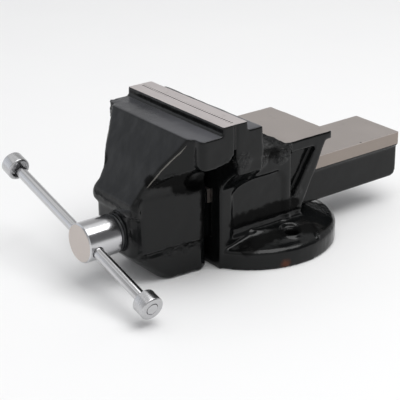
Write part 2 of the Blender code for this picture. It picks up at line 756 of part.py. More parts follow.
# --------------------------------------------------------------- jaw plates
def make_jaw_plate(name, direction):
    """Steel plate with vertical grip grooves and two countersunk holes."""
    face = JAW_PLANE_Y + direction * TOUCH_GAP / 2
    back = face + direction * PLATE_THICKNESS
    span = JAW_WIDTH - 2 * GROOVE_END_MARGIN
    count = int(span / GROOVE_PITCH)
    start = -count * GROOVE_PITCH / 2
    points = [(-HALF_JAW, face)]
    for index in range(count + 1):
        x = start + index * GROOVE_PITCH
        points.append((x - GROOVE_DEPTH, face))
        points.append((x, face + direction * GROOVE_DEPTH))
        points.append((x + GROOVE_DEPTH, face))
    points += [(HALF_JAW, face), (HALF_JAW, back), (-HALF_JAW, back)]
    plate = prism(name, points, SEAT_Z, JAW_TOP_Z, "Z")
    for side in (-1, 1):
        tool = plate_screw_shape("hole", TOUCH_GAP, 28, direction, 2 * OVERRUN)
        cut(plate, moved(tool, (side * PLATE_SCREW_SPACING / 2, 0.0, PLATE_SCREW_Z)))
    return set_material(plate, "ground_steel")


def plate_screw_shape(name, extra, segments, direction, overrun):
    """Countersunk screw outline, grown by a clearance for its hole."""
    head_y = JAW_PLANE_Y + direction * (GROOVE_DEPTH + 0.0006)
    cone = PLATE_SCREW_HEAD_RADIUS - PLATE_SCREW_RADIUS
    rim = 0.0008
    profile = [
        (head_y - direction * overrun, 0.0),
        (head_y - direction * overrun, PLATE_SCREW_HEAD_RADIUS + extra),
        (head_y + direction * rim, PLATE_SCREW_HEAD_RADIUS + extra),
        (head_y + direction * (rim + cone), PLATE_SCREW_RADIUS + extra),
        (head_y + direction * PLATE_SCREW_LENGTH, PLATE_SCREW_RADIUS + extra),
        (head_y + direction * PLATE_SCREW_LENGTH, 0.0),
    ]
    return lathe(name, profile, segments)


def make_plate_screw(name, direction, side):
    """Countersunk socket screw holding one jaw plate."""
    screw = plate_screw_shape(name, 0.0, 24, direction, 0.0)
    head_y = JAW_PLANE_Y + direction * (GROOVE_DEPTH + 0.0006)
    socket = rod("socket", HEX_SOCKET_RADIUS, head_y - direction * OVERRUN,
                 head_y + direction * HEX_SOCKET_DEPTH, 6)
    cut(screw, socket)
    moved(screw, (side * PLATE_SCREW_SPACING / 2, 0.0, PLATE_SCREW_Z))
    return smooth_round(set_material(screw, "dark_screw_steel"))


# ------------------------------------------------------------------ spindle
def helix_solid(name, crest, root, start, end, sides):
    """Right-handed trapezoidal thread about +Y, cut square at both ends."""
    lead = THREAD_LEAD
    stations = [(0.0, root), (0.38 * lead, root), (0.48 * lead, crest), (0.90 * lead, crest)]
    first_turn = math.floor(start / lead) - 2
    last_turn = math.ceil(end / lead) + 2
    steps = (last_turn - first_turn) * sides
    data = bmesh.new()
    grid = []
    for step in range(steps + 1):
        angle = math.tau * step / sides
        row = []
        for along, radius in stations:
            y = first_turn * lead + along + lead * step / sides
            row.append(data.verts.new((radius * math.sin(angle), y, radius * math.cos(angle))))
        grid.append(row)
    for step in range(steps):
        here = grid[step]
        ahead = grid[step + 1]
        for index in range(len(stations) - 1):
            data.faces.new((here[index], here[index + 1], ahead[index + 1], ahead[index]))
        if step + 1 + sides <= steps:
            data.faces.new((here[-1], grid[step + sides][0], grid[step + 1 + sides][0], ahead[-1]))
    front_centre = data.verts.new((0.0, (first_turn - 1) * lead, 0.0))
    front_loop = [grid[step][0] for step in range(sides + 1)] + list(reversed(grid[0][1:]))
    rear_centre = data.verts.new((0.0, (last_turn + 2) * lead, 0.0))
    rear_loop = [grid[step][-1] for step in range(steps - sides, steps + 1)]
    rear_loop += list(reversed(grid[steps][:-1]))
    for centre, loop in ((front_centre, front_loop), (rear_centre, rear_loop)):
        for index, vertex in enumerate(loop):
            data.faces.new((centre, vertex, loop[(index + 1) % len(loop)]))
    thread = object_from_bmesh(name, data)
    bevel = (crest - root) * 1.5
    profile = [
        (start, 0.0),
        (start, crest * 1.5),
        (end - bevel - crest * 0.5, crest * 1.5),
        (end, crest - bevel),
        (end, 0.0),
    ]
    keep = lathe("keep", profile, 24, "Y", None, DRILL_PHASE)
    return combine(thread, keep, "INTERSECT")


def make_spindle(parent):
    """Head, cross hole, plain shank and threaded length, in the spindle's own axes."""
    head_front = -SPINDLE_HEAD_LENGTH
    thread_start = THREAD_START_Y - HEAD_REAR_Y
    tip = SPINDLE_TIP_Y - HEAD_REAR_Y
    chamfer = 0.0012
    profile = [
        (head_front, 0.0),
        (head_front, SPINDLE_HEAD_RADIUS - chamfer),
        (head_front + chamfer, SPINDLE_HEAD_RADIUS),
        (-chamfer, SPINDLE_HEAD_RADIUS),
        (0.0, SPINDLE_HEAD_RADIUS - chamfer),
        (0.0, SHANK_RADIUS),
        (thread_start, SHANK_RADIUS),
        (thread_start, 0.0),
    ]
    spindle = lathe("spindle", profile, 48)
    root = THREAD_RADIUS - THREAD_DEPTH
    overlap = thread_start - THREAD_LEAD
    fuse(spindle, helix_solid("thread", THREAD_RADIUS, root, overlap, tip, THREAD_SIDES))
    hole_y = head_front + BAR_HOLE_SETBACK
    hole = drill("hole", BAR_RADIUS + RUNNING_CLEARANCE, -0.03, 0.03, 28, "X")
    cut(spindle, moved(hole, (0.0, hole_y, 0.0)))
    pin_y = SPLIT_PIN_Y - HEAD_REAR_Y
    pin_hole = drill("pin_hole", SPLIT_PIN_RADIUS + TOUCH_GAP, -0.03, 0.03, 16, "Z")
    cut(spindle, moved(pin_hole, (0.0, pin_y, 0.0)))
    spindle.parent = parent
    return smooth_round(set_material(spindle, "polished_steel"), 25)


def make_thrust_washer():
    """Flat washer between the spindle head and the housing."""
    start = BOX_FRONT_Y - TOUCH_GAP - THRUST_WASHER_THICKNESS
    washer = ring("thrust_washer", SPINDLE_BORE_RADIUS, THRUST_WASHER_RADIUS,
                  start, start + THRUST_WASHER_THICKNESS, 36)
    moved(washer, (0.0, 0.0, SPINDLE_Z))
    return smooth_round(set_material(washer, "zinc_steel"))


def make_retaining_spring():
    """Coil spring that takes up play behind the housing wall."""
    wire = SPRING_WIRE_RADIUS
    coil_radius = SPINDLE_BORE_RADIUS + TOUCH_GAP + wire
    start = FRONT_WALL_INNER_Y + TOUCH_GAP + wire
    rise = SPRING_LENGTH - 2 * wire
    per_turn = 16
    sides = 6
    steps = int(per_turn * SPRING_TURNS)
    rings = []
    for step in range(steps + 1):
        angle = math.tau * step / per_turn
        y = start + rise * step / steps
        outward = Vector((math.sin(angle), 0.0, math.cos(angle)))
        centre = outward * coil_radius + Vector((0.0, y, SPINDLE_Z))
        section = []
        for index in range(sides):
            turn = math.tau * index / sides
            around = outward * math.cos(turn) + Vector((0, 1, 0)) * math.sin(turn)
            section.append(centre + around * wire)
        rings.append(section)
    spring = loft("retaining_spring", rings)
    return smooth_round(set_material(spring, "spring_steel"), 70)


def make_spring_washer():
    """Flat washer between the spring and the split pin."""
    washer = ring("spring_washer", SPINDLE_BORE_RADIUS, SPRING_WASHER_RADIUS,
                  SPRING_WASHER_Y, SPRING_WASHER_Y + SPRING_WASHER_THICKNESS, 32)
    moved(washer, (0.0, 0.0, SPINDLE_Z))
    return smooth_round(set_material(washer, "zinc_steel"))


def make_split_pin(parent):
    """Cross pin through the spindle behind the spring washer."""
    pin = rod("split_pin", SPLIT_PIN_RADIUS, -SPLIT_PIN_REACH, SPLIT_PIN_REACH, 16, "Z")
    moved(pin, (0.0, SPLIT_PIN_Y - HEAD_REAR_Y, 0.0))
    pin.parent = parent
    return smooth_round(set_material(pin, "zinc_steel"))


# ------------------------------------------------------------------- handle
def make_handle_bar(parent):
    """Round bar through the spindle head, ends flush with the caps."""
    low_end = BAR_LOW_REACH + CAP_LENGTH / 2
    high_end = BAR_HIGH_REACH + CAP_LENGTH / 2
    bar = rod("handle_bar", BAR_RADIUS, -high_end, low_end, 28, "X")
    bar.parent = parent
    return smooth_round(set_material(bar, "polished_steel"))


def make_handle_cap(name, parent, side, reach):
    """Turned end cap with a recess on its inner face."""
    inner = side * (reach - CAP_LENGTH / 2)
    outer = side * (reach + CAP_LENGTH / 2)
    bore = BAR_RADIUS + TOUCH_GAP
    chamfer = 0.0009
    profile = [
        (inner + side * CAP_RECESS_DEPTH, bore),
        (inner + side * CAP_RECESS_DEPTH, CAP_RECESS_RADIUS),
        (inner, CAP_RECESS_RADIUS),
        (inner, CAP_RADIUS - chamfer),
        (inner + side * chamfer, CAP_RADIUS),
        (outer - side * chamfer, CAP_RADIUS),
        (outer, CAP_RADIUS - chamfer),
        (outer, bore),
        (inner + side * CAP_RECESS_DEPTH, bore),
    ]
    cap = lathe(name, profile, 36, "X")
    cap.parent = parent
    return smooth_round(set_material(cap, "turned_steel"))


# ---------------------------------------------------------------------- nut
def make_spindle_nut():
    """Threaded nut block that stands on the body floor inside the slide."""
    half = CHANNEL_HALF_WIDTH - NUT_SIDE_CLEARANCE
    bottom = BODY_FLOOR_Z + TOUCH_GAP
    top = CHANNEL_ROOF_Z - NUT_SIDE_CLEARANCE
    shoulder = 0.005
    outline = [
        (half, bottom), (half, top - shoulder), (half - shoulder, top),
        (shoulder - half, top), (-half, top - shoulder), (-half, bottom),
    ]
    nut = prism("spindle_nut", outline, NUT_FRONT_Y, NUT_FRONT_Y + NUT_LENGTH, "Y")
    stem_bottom = BODY_FLOOR_Z - NUT_STEM_LENGTH
    stem = drill("stem", NUT_STEM_RADIUS, stem_bottom, bottom + 2 * OVERRUN, 28, "Z")
    fuse(nut, moved(stem, (0.0, NUT_CENTRE_Y, 0.0)))
    hole_top = COUNTERBORE_DEPTH + NUT_BOLT_GRIP + 0.0035
    hole = drill("bolt_hole", NUT_BOLT_RADIUS + TOUCH_GAP, 0.0, hole_top, 20, "Z")
    cut(nut, moved(hole, (0.0, NUT_CENTRE_Y, 0.0)))
    crest = THREAD_RADIUS + THREAD_CLEARANCE
    root = THREAD_RADIUS - THREAD_DEPTH + THREAD_CLEARANCE
    origin = HEAD_REAR_Y
    start = NUT_FRONT_Y - THREAD_LEAD - origin
    end = NUT_FRONT_Y + NUT_LENGTH + 2 * SHANK_RADIUS - origin
    tap = helix_solid("tap", crest, root, start, end, THREAD_SIDES)
    tap.data.transform(Matrix.Rotation(BAR_TILT, 4, "Y"))
    cut(nut, moved(tap, (0.0, origin, SPINDLE_Z)))
    return set_material(nut, "cast_iron")


def make_nut_bolt():
    """Hex bolt that holds the nut's stem from below."""
    washer_bottom = COUNTERBORE_DEPTH - TOUCH_GAP - NUT_BOLT_WASHER_THICKNESS
    head_top = washer_bottom - TOUCH_GAP
    tip = COUNTERBORE_DEPTH + NUT_BOLT_GRIP + 0.0025
    bolt = rod("nut_bolt", NUT_BOLT_HEAD_RADIUS, head_top - NUT_BOLT_HEAD_HEIGHT, head_top, 6, "Z")
    fuse(bolt, rod("bolt_shank", NUT_BOLT_RADIUS, head_top - 2 * OVERRUN, tip, 20, "Z"))
    moved(bolt, (0.0, NUT_CENTRE_Y, 0.0))
    return smooth_round(set_material(bolt, "zinc_steel"))


def make_nut_bolt_washer():
    """Washer under the nut bolt's head."""
    low = COUNTERBORE_DEPTH - TOUCH_GAP - NUT_BOLT_WASHER_THICKNESS
    washer = ring("nut_bolt_washer", NUT_BOLT_RADIUS + TOUCH_GAP, NUT_BOLT_WASHER_RADIUS,
                  low, low + NUT_BOLT_WASHER_THICKNESS, 28, "Z")
    moved(washer, (0.0, NUT_CENTRE_Y, 0.0))
    return smooth_round(set_material(washer, "zinc_steel"))


# --------------------------------------------------------------------- main
def main():
    """Build every piece of the vise."""
    clear_scene()
    make_fixed_body()
    make_moving_jaw()
    make_jaw_plate("fixed_jaw_plate", 1)
    make_jaw_plate("moving_jaw_plate", -1)
    for label, side in (("left", -1), ("right", 1)):
        make_plate_screw("fixed_plate_screw_" + label, 1, side)
        make_plate_screw("moving_plate_screw_" + label, -1, side)
    spindle_axis = axis_empty("spindle_axis", (0.0, HEAD_REAR_Y, SPINDLE_Z), BAR_TILT)
    bar_axis = axis_empty("bar_axis", (0.0, BAR_HOLE_Y, SPINDLE_Z), BAR_TILT)
    make_spindle(spindle_axis)
    make_split_pin(spindle_axis)
    make_thrust_washer()
    make_retaining_spring()
    make_spring_washer()
    make_handle_bar(bar_axis)
    make_handle_cap("handle_cap_right", bar_axis, 1, BAR_LOW_REACH)
    make_handle_cap("handle_cap_left", bar_axis, -1, BAR_HIGH_REACH)
    make_spindle_nut()
    make_nut_bolt()
    make_nut_bolt_washer()


main()
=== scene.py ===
"""Visual model of a fixed-base bench vise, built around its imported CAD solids.

Frame: metres, +Z up, +Y from the handle towards the anvil, +X to the right.
The castings are rounded, painted and ground copies of their CAD solids. The
handle is spun anew. The spindle and the small hardware are shaded round.
"""

import logging
import math
from dataclasses import dataclass, field
from enum import Enum

import bmesh
import bpy
import numpy as np
from mathutils import Matrix, Vector, noise
from mathutils.bvhtree import BVHTree


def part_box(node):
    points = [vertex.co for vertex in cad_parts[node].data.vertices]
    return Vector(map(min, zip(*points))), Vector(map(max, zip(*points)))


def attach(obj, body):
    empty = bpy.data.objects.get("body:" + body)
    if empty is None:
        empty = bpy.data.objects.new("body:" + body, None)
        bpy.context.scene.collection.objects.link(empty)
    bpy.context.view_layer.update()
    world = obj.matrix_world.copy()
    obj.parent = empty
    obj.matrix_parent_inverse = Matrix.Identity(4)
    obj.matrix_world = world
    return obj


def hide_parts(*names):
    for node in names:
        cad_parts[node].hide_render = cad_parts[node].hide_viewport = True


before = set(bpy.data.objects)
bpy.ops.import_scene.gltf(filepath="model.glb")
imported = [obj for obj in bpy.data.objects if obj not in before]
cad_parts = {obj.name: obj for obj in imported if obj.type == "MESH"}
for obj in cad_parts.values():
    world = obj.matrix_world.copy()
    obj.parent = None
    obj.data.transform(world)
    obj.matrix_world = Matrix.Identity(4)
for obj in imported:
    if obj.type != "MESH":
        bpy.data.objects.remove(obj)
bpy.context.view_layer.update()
LOG = logging.getLogger("bench_vise")

WELD = 1e-6
SAME_LEVEL = 1e-5
SHARP_ANGLE = math.radians(32)
FLAT_ANGLE = math.radians(0.5)
CORNER_SHARE = 0.45
ANVIL_TOP = 0.0902
PLATE_TOP = 0.12945
SLIDE_TOP = 0.065
SLIDE_HALF_WIDTH = 0.02625
# Height above which upward faces get dust and a painted sheen.
DUST_AND_SHEEN_LEVEL = 0.110
# Roughness and shine of the dull black that paints shade into creases and recesses.
SHADE_BLACK_ROUGHNESS = 0.9
SHADE_BLACK_SHINE = 0.05
Point = tuple[float, float, float]
Outline = list[tuple[float, float]]
# Colour of that dull black painted shade.
SHADE_BLACK: Point = (0.0025, 0.0025, 0.0025)


class Slot(Enum):
    """Material slot names of the record; the hardware pieces carry one, which nothing here reads."""

    PAINT = "black_paint"
    GROUND = "ground_steel"
    POLISHED = "polished_steel"
    TURNED = "turned_steel"
    ZINC = "zinc_steel"
    SCREW = "dark_screw_steel"
    IRON = "cast_iron"
    SPRING = "spring_steel"


class Body(Enum):
    """CAD bodies that pieces ride on."""

    BASE = "base"
    JAW = "sliding_jaw"
    SCREW = "screw"
    HANDLE = "handle"


# ------------------------------------------------------------ shader graphs
class Signal:
    """A shader socket on which arithmetic adds Math nodes."""

    def __init__(self, graph: "ShaderGraph", socket: bpy.types.NodeSocket) -> None:
        """Wrap one output socket of a graph."""
        self.graph = graph
        self.socket = socket

    def _math(self, operation: str, other: "Signal | float", swap: bool = False) -> "Signal":
        """Add one Math node.

        Args:
            operation: the node's operation.
            other: the second operand.
            swap: True where the wrapped socket is the right-hand operand.

        Returns:
            The result's signal.
        """
        first, second = (other, self) if swap else (self, other)
        return self.graph.node("ShaderNodeMath", {"operation": operation}, {0: first, 1: second})

    def __add__(self, other: "Signal | float") -> "Signal":
        """Return self + other."""
        return self._math("ADD", other)

    def __radd__(self, other: float) -> "Signal":
        """Return other + self."""
        return self._math("ADD", other, True)

    def __sub__(self, other: "Signal | float") -> "Signal":
        """Return self - other."""
        return self._math("SUBTRACT", other)

    def __rsub__(self, other: float) -> "Signal":
        """Return other - self."""
        return self._math("SUBTRACT", other, True)

    def __mul__(self, other: "Signal | float") -> "Signal":
        """Return self * other."""
        return self._math("MULTIPLY", other)

    def __rmul__(self, other: float) -> "Signal":
        """Return other * self."""
        return self._math("MULTIPLY", other, True)

    def most(self, other: "Signal | float") -> "Signal":
        """Return the larger of two values."""
        return self._math("MAXIMUM", other)

    def between(self, low: float, high: float) -> "Signal":
        """Rise smoothly from 0 at low to 1 at high, or fall where low is above high.

        Args:
            low: the value that gives 0.
            high: the value that gives 1.

        Returns:
            The blend factor's signal.
        """
        rising = low < high
        span = (low, high, 0.0, 1.0) if rising else (high, low, 1.0, 0.0)
        values = dict(zip(range(1, 5), span))
        return self.graph.node(
            "ShaderNodeMapRange", {"interpolation_type": "SMOOTHSTEP"}, {0: self, **values}
        )


class ShaderGraph:
    """Nodes of one material or world, added through a single method."""

    def __init__(self, tree: bpy.types.NodeTree) -> None:
        """Start from an empty node tree."""
        self.tree = tree
        self.tree.nodes.clear()

    def node(
        self,
        kind: str,
        settings: dict[str, object] | None = None,
        inputs: dict[int | str, object] | None = None,
        output: int | str = 0,
    ) -> Signal:
        """Add one node.

        Args:
            kind: the node's type name.
            settings: its properties; "stops" fills a colour ramp.
            inputs: values or signals by socket.
            output: the socket that is returned.

        Returns:
            The chosen output's signal.
        """
        made = self.tree.nodes.new(kind)
        for key, value in (settings or {}).items():
            if key == "stops":
                self._fill_ramp(made.color_ramp, value)
            else:
                setattr(made, key, value)
        for key, value in (inputs or {}).items():
            if isinstance(value, Signal):
                self.tree.links.new(value.socket, made.inputs[key])
            else:
                made.inputs[key].default_value = value
        return Signal(self, made.outputs[output] if made.outputs else None)

    @staticmethod
    def _fill_ramp(ramp: bpy.types.ColorRamp, stops: tuple[tuple[float, float], ...]) -> None:
        """Set a grey ramp's stops from (position, value) pairs."""
        while len(ramp.elements) < len(stops):
            ramp.elements.new(0.5)
        for element, (position, value) in zip(ramp.elements, stops):
            element.position = position
            element.color = (value, value, value, 1.0)

    def place(self) -> Signal:
        """Return the object coordinates."""
        return self.node("ShaderNodeTexCoord", output="Object")

    def axes(self, vector: Signal) -> tuple[Signal, Signal, Signal]:
        """Split a vector into its three numbers."""
        made = self.node("ShaderNodeSeparateXYZ", inputs={0: vector})
        outputs = made.socket.node.outputs
        return Signal(self, outputs[0]), Signal(self, outputs[1]), Signal(self, outputs[2])

    def mapped(self, vector: Signal, scale: Point) -> Signal:
        """Stretch a pattern's coordinates."""
        return self.node("ShaderNodeMapping", inputs={"Vector": vector, "Scale": scale})

    def cloud(self, vector: Signal, scale: float, detail: float = 2.0, rough: float = 0.5,
              twist: float = 0.0) -> Signal:
        """Return a noise value around one half.

        Args:
            vector: the coordinates.
            scale: cells per metre.
            detail: octaves of detail.
            rough: weight of the finer octaves.
            twist: distortion.

        Returns:
            The noise signal.
        """
        values = {"Vector": vector, "Scale": scale, "Detail": detail, "Roughness": rough,
                  "Distortion": twist}
        return self.node("ShaderNodeTexNoise", {"noise_dimensions": "3D"}, values)

    def painted(self, name: str) -> Signal:
        """Return a number stored on the mesh under a name."""
        return self.node("ShaderNodeAttribute", {"attribute_name": name}, output="Fac")

    def blend(self, factor: Signal | float, first: object, second: object) -> Signal:
        """Mix two colours.

        Args:
            factor: 0 for the first, 1 for the second.
            first: a colour or a signal.
            second: a colour or a signal.

        Returns:
            The mixed colour's signal.
        """
        settings = {"data_type": "RGBA", "clamp_factor": True}
        sockets = {0: factor, 6: self._colour(first), 7: self._colour(second)}
        return self.node("ShaderNodeMix", settings, sockets, 2)

    @staticmethod
    def _colour(value: object) -> object:
        """Give a plain colour its alpha."""
        return (*value, 1.0) if isinstance(value, tuple) else value

    def near(self, vector: Signal, centre: Point) -> Signal:
        """Return the distance from a point."""
        settings = {"operation": "DISTANCE"}
        return self.node("ShaderNodeVectorMath", settings, {0: vector, 1: centre}, "Value")

    def relief(self, height: Signal, strength: float = 1.0) -> Signal:
        """Turn a height in metres into a bumped normal."""
        values = {"Strength": strength, "Distance": 1.0, "Height": height}
        return self.node("ShaderNodeBump", inputs=values, output="Normal")

    def finish(self, painted_shade: Signal | None = None, **sockets: object) -> None:
        """Add the shader and the output; underscores in socket names stand for spaces.

        Args:
            painted_shade: where a dull black stands in for shade in creases and recesses, 0 to 1.
            sockets: what goes into the Principled shader.
        """
        named = {key.replace("_", " "): self._colour(value) for key, value in sockets.items()}
        shader = self.node("ShaderNodeBsdfPrincipled", inputs=named)
        # Painted shade: a dull black shader is mixed in where shade falls.
        if painted_shade is not None:
            matt = self.node("ShaderNodeBsdfPrincipled", inputs={
                "Base Color": (*SHADE_BLACK, 1.0), "Roughness": SHADE_BLACK_ROUGHNESS,
                "Specular IOR Level": SHADE_BLACK_SHINE})
            shader = self.node("ShaderNodeMixShader", inputs={0: painted_shade, 1: shader, 2: matt})
        self.node("ShaderNodeOutputMaterial", inputs={"Surface": shader})


def new_graph(name: str) -> tuple[bpy.types.Material, ShaderGraph]:
    """Make an empty node material.

    Args:
        name: the material's name.

    Returns:
        The material and its graph.
    """
    material = bpy.data.materials.new(name)
    material.use_nodes = True
    return material, ShaderGraph(material.node_tree)


# ----------------------------------------------------------------- finishes
@dataclass(frozen=True)
class Enamel:
    """Thick black gloss enamel on a rough casting."""

    name: str = "black_enamel"
    colour: Point = (0.0036, 0.0040, 0.0042)
    # Colour of dust plus a painted sheen on the upward ledges.
    dust_and_sheen_colour: Point = (0.082, 0.083, 0.091)
    chipped: Point = (0.30, 0.29, 0.27)
    rust: Point = (0.30, 0.075, 0.02)
    rust_spot: Point = (0.0697, -0.0194, 0.0028)
    roughness: float = 0.15
    index: float = 1.34
    swell_height: float = 0.00055
    peel_height: float = 0.00005
    wrinkle_height: float = 0.0019
    swell_scale: float = 48.0
    peel_scale: float = 620.0
    wrinkle_scale: float = 300.0
    speck_scale: float = 1500.0
    patch_scale: float = 26.0
    # Painted shade: scale of its ragged edge and how much dull black it mixes in.
    shade_and_stain_scale: float = 150.0
    painted_shade_depth: float = 0.85
    rust_depth: float = 0.26
    chip_depth: float = 0.65

    def material(self) -> bpy.types.Material:
        """Return the material; coarseness, dust with painted sheen, wear and painted shade are stored on
        the mesh.
        """
        made, g = new_graph(self.name)
        spot = g.place()
        coarse = g.painted("coarse")
        dust_and_sheen = g.painted("dust_and_sheen")
        worn = g.painted("worn")
        swell = g.cloud(spot, self.swell_scale, 2.0)
        peel = g.cloud(spot, self.peel_scale, 2.0, 0.6)
        wrinkle = g.cloud(spot, self.wrinkle_scale, 3.0, 0.6, 1.4)
        speck = g.cloud(spot, self.speck_scale, 2.0, 0.7)
        patch = g.cloud(spot, self.patch_scale, 3.0, 0.6)
        height = (swell * self.swell_height + peel * self.peel_height
                  + coarse * wrinkle * self.wrinkle_height)
        # Dust with a painted sheen: upward ledges lighter, bluer and rougher.
        dust_and_sheen_film = dust_and_sheen * (0.72 + patch * 0.45)
        chips = (worn * (0.55 + speck * 0.9)).between(0.86, 1.0)
        rusty = (g.near(spot, self.rust_spot) + speck * 0.008 - 0.004).between(0.0062, 0.0004)
        base = g.blend(dust_and_sheen_film, self.colour, self.dust_and_sheen_colour)
        base = g.blend(chips * self.chip_depth, base, self.chipped)
        base = g.blend(rusty * self.rust_depth, base, self.rust)
        gloss = self.roughness + (patch - 0.5) * 0.10 + dust_and_sheen_film * 0.20 + rusty * 0.4 - coarse * 0.09
        # Painted shade: creases and recesses darkened by mixing in a dull black, with a ragged edge.
        ragged = (g.cloud(spot, self.shade_and_stain_scale, 4.0, 0.65) - 0.5) * 1.1
        shade_and_stain = (g.painted("shade_and_stain") + ragged).between(0.30, 0.80)
        g.finish(shade_and_stain * self.painted_shade_depth, Base_Color=base, Roughness=gloss,
                 IOR=self.index, Normal=g.relief(height), Metallic=0.0)
        return made


@dataclass(frozen=True)
class GroundSteel:
    """Surface-ground iron with fine grinding lines, faint stains and pits."""

    name: str = "ground_iron"
    colour: Point = (0.52, 0.475, 0.455)
    shade: Point = (0.44, 0.40, 0.375)
    stain: Point = (0.26, 0.215, 0.18)
    pit: Point = (0.03, 0.025, 0.02)
    paint: Point = (0.0036, 0.0040, 0.0042)
    roughness: float = 0.46
    stretch: Point = (26.0, 900.0, 900.0)
    pits: tuple[Point, ...] = ()
    pit_edge: float = 0.0011
    pit_core: float = 0.0005
    side_level: float = -1.0
    paint_line: float | None = None
    patch_scale: float = 34.0
    shade_and_stain_scale: float = 90.0
    ragged_scale: float = 240.0
    ragged_reach: float = 0.012
    paint_roughness: float = 0.10

    def material(self) -> bpy.types.Material:
        """Return the material."""
        made, g = new_graph(self.name)
        spot = g.place()
        _, _, height = g.axes(spot)
        lines = g.cloud(g.mapped(spot, self.stretch), 1.0, 3.0, 0.65)
        patch = g.cloud(spot, self.patch_scale, 3.0, 0.55)
        shade_and_stain = g.cloud(spot, self.shade_and_stain_scale, 4.0, 0.65)
        tone = g.blend(lines * 0.55 + patch * 0.45, self.shade, self.colour)
        tone = g.blend(shade_and_stain.between(0.60, 0.82) * 0.35, tone, self.stain)
        if self.side_level > 0.0:
            below = height.between(self.side_level, self.side_level - 0.0006)
            tone = g.blend(below * 0.66, tone, self.stain)
        dark = None
        for centre in self.pits:
            mark = g.near(spot, centre).between(self.pit_edge, self.pit_core)
            dark = mark if dark is None else dark.most(mark)
        if dark is not None:
            tone = g.blend(dark, tone, self.pit)
        rough = self.roughness + (lines - 0.5) * 0.16 + (patch - 0.5) * 0.12
        metal: Signal | float = 1.0
        if self.paint_line is not None:
            ragged = (g.cloud(spot, self.ragged_scale, 4.0, 0.7) - 0.5) * self.ragged_reach
            ragged = g.axes(spot)[1] + ragged
            paint = ragged.between(self.paint_line + 0.0002, self.paint_line - 0.0002)
            tone = g.blend(paint, tone, self.paint)
            rough = rough * (1.0 - paint) + paint * self.paint_roughness
            metal = 1.0 - paint
        relief = g.relief(lines * 0.000018 + patch * 0.00006)
        g.finish(Base_Color=tone, Roughness=rough, Metallic=metal, Normal=relief)
        return made


@dataclass(frozen=True)
class TurnedSteel:
    """Lathe-turned or plated steel with rings about an axis and light marks."""

    name: str
    colour: Point
    roughness: float
    axis: int = 1
    ring_height: float = 0.000004
    smudge: float = 0.10
    face_level: float | None = None
    face_colour: Point = (0.55, 0.50, 0.47)
    face_roughness: float = 0.42
    shade_share: float = 0.82
    ring_scale: float = 2600.0
    along_scale: float = 24.0
    patch_scale: float = 120.0
    mark_stretch: Point = (500.0, 90.0, 500.0)
    least_roughness: float = 0.04

    def material(self) -> bpy.types.Material:
        """Return the material."""
        made, g = new_graph(self.name)
        spot = g.place()
        stretch = [self.along_scale] * 3
        stretch[self.axis] = self.ring_scale
        rings = g.cloud(g.mapped(spot, tuple(stretch)), 1.0, 2.0, 0.6)
        patch = g.cloud(spot, self.patch_scale, 4.0, 0.6)
        marks = g.cloud(g.mapped(spot, self.mark_stretch), 1.0, 4.0, 0.7)
        shade = tuple(value * self.shade_share for value in self.colour)
        tone = g.blend(patch * 0.6 + rings * 0.4, shade, self.colour)
        rough = (self.roughness + (patch - 0.5) * self.smudge + (rings - 0.5) * 0.08
                 + marks.between(0.58, 0.75) * 0.10)
        if self.face_level is not None:
            along = g.axes(spot)[self.axis]
            flat = along.between(self.face_level + 0.0003, self.face_level + 0.0001)
            tone = g.blend(flat, tone, self.face_colour)
            rough = rough * (1.0 - flat) + flat * (self.face_roughness + (patch - 0.5) * 0.1)
        relief = g.relief(rings * self.ring_height + patch * 0.00001)
        g.finish(Base_Color=tone, Roughness=rough.most(self.least_roughness), Metallic=1.0, Normal=relief)
        return made


# -------------------------------------------------------------- mesh making
def clamped(value: float) -> float:
    """Return the value held between 0 and 1."""
    return min(max(value, 0.0), 1.0)


def welded(node: str) -> bmesh.types.BMesh:
    """Copy a CAD solid's triangles into one closed mesh.

    Args:
        node: the CAD node's name.

    Returns:
        The welded mesh.
    """
    data = bmesh.new()
    data.from_mesh(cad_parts[node].data)
    bmesh.ops.remove_doubles(data, verts=data.verts, dist=WELD)
    bmesh.ops.dissolve_limit(data, angle_limit=FLAT_ANGLE, verts=data.verts,
                             edges=data.edges, delimit={"NORMAL"})
    return data


def publish(
    name: str,
    data: bmesh.types.BMesh,
    finishes: list[bpy.types.Material],
    body: Body,
    stands_for: tuple[str, ...] = (),
    sharp: float = SHARP_ANGLE,
) -> bpy.types.Object:
    """Turn a mesh into a finished piece.

    Args:
        name: the piece's name.
        data: its mesh, which is used up.
        finishes: its materials by index.
        body: the body it rides on.
        stands_for: the CAD nodes it replaces.
        sharp: edges that turn by more than this stay sharp.

    Returns:
        The piece.
    """
    mesh = bpy.data.meshes.new(name)
    data.to_mesh(mesh)
    data.free()
    piece = bpy.data.objects.new(name, mesh)
    bpy.context.scene.collection.objects.link(piece)
    for finish in finishes:
        mesh.materials.append(finish)
    mesh.shade_smooth()
    mesh.set_sharp_from_angle(angle=sharp)
    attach(piece, body.value)
    if stands_for:
        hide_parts(*stands_for)
    LOG.info("%s: %d faces, rides on %s", name, len(mesh.polygons), body.value)
    return piece


def spun(profile: Outline, segments: int) -> bmesh.types.BMesh:
    """Turn an (along, radius) outline about the Y axis.

    Args:
        profile: the points in order; a radius of zero closes on the axis.
        segments: the steps of the full turn.

    Returns:
        The closed mesh, with its normals outwards.
    """
    data = bmesh.new()
    points = [data.verts.new((radius, along, 0.0)) for along, radius in profile]
    edges = [data.edges.new(pair) for pair in zip(points, points[1:])]
    bmesh.ops.spin(data, geom=points + edges, cent=(0, 0, 0), axis=(0, 1, 0),
                   angle=math.tau, steps=segments, use_merge=True)
    bmesh.ops.remove_doubles(data, verts=data.verts, dist=WELD)
    bmesh.ops.dissolve_degenerate(data, edges=data.edges, dist=WELD)
    bmesh.ops.recalc_face_normals(data, faces=data.faces)
    return data


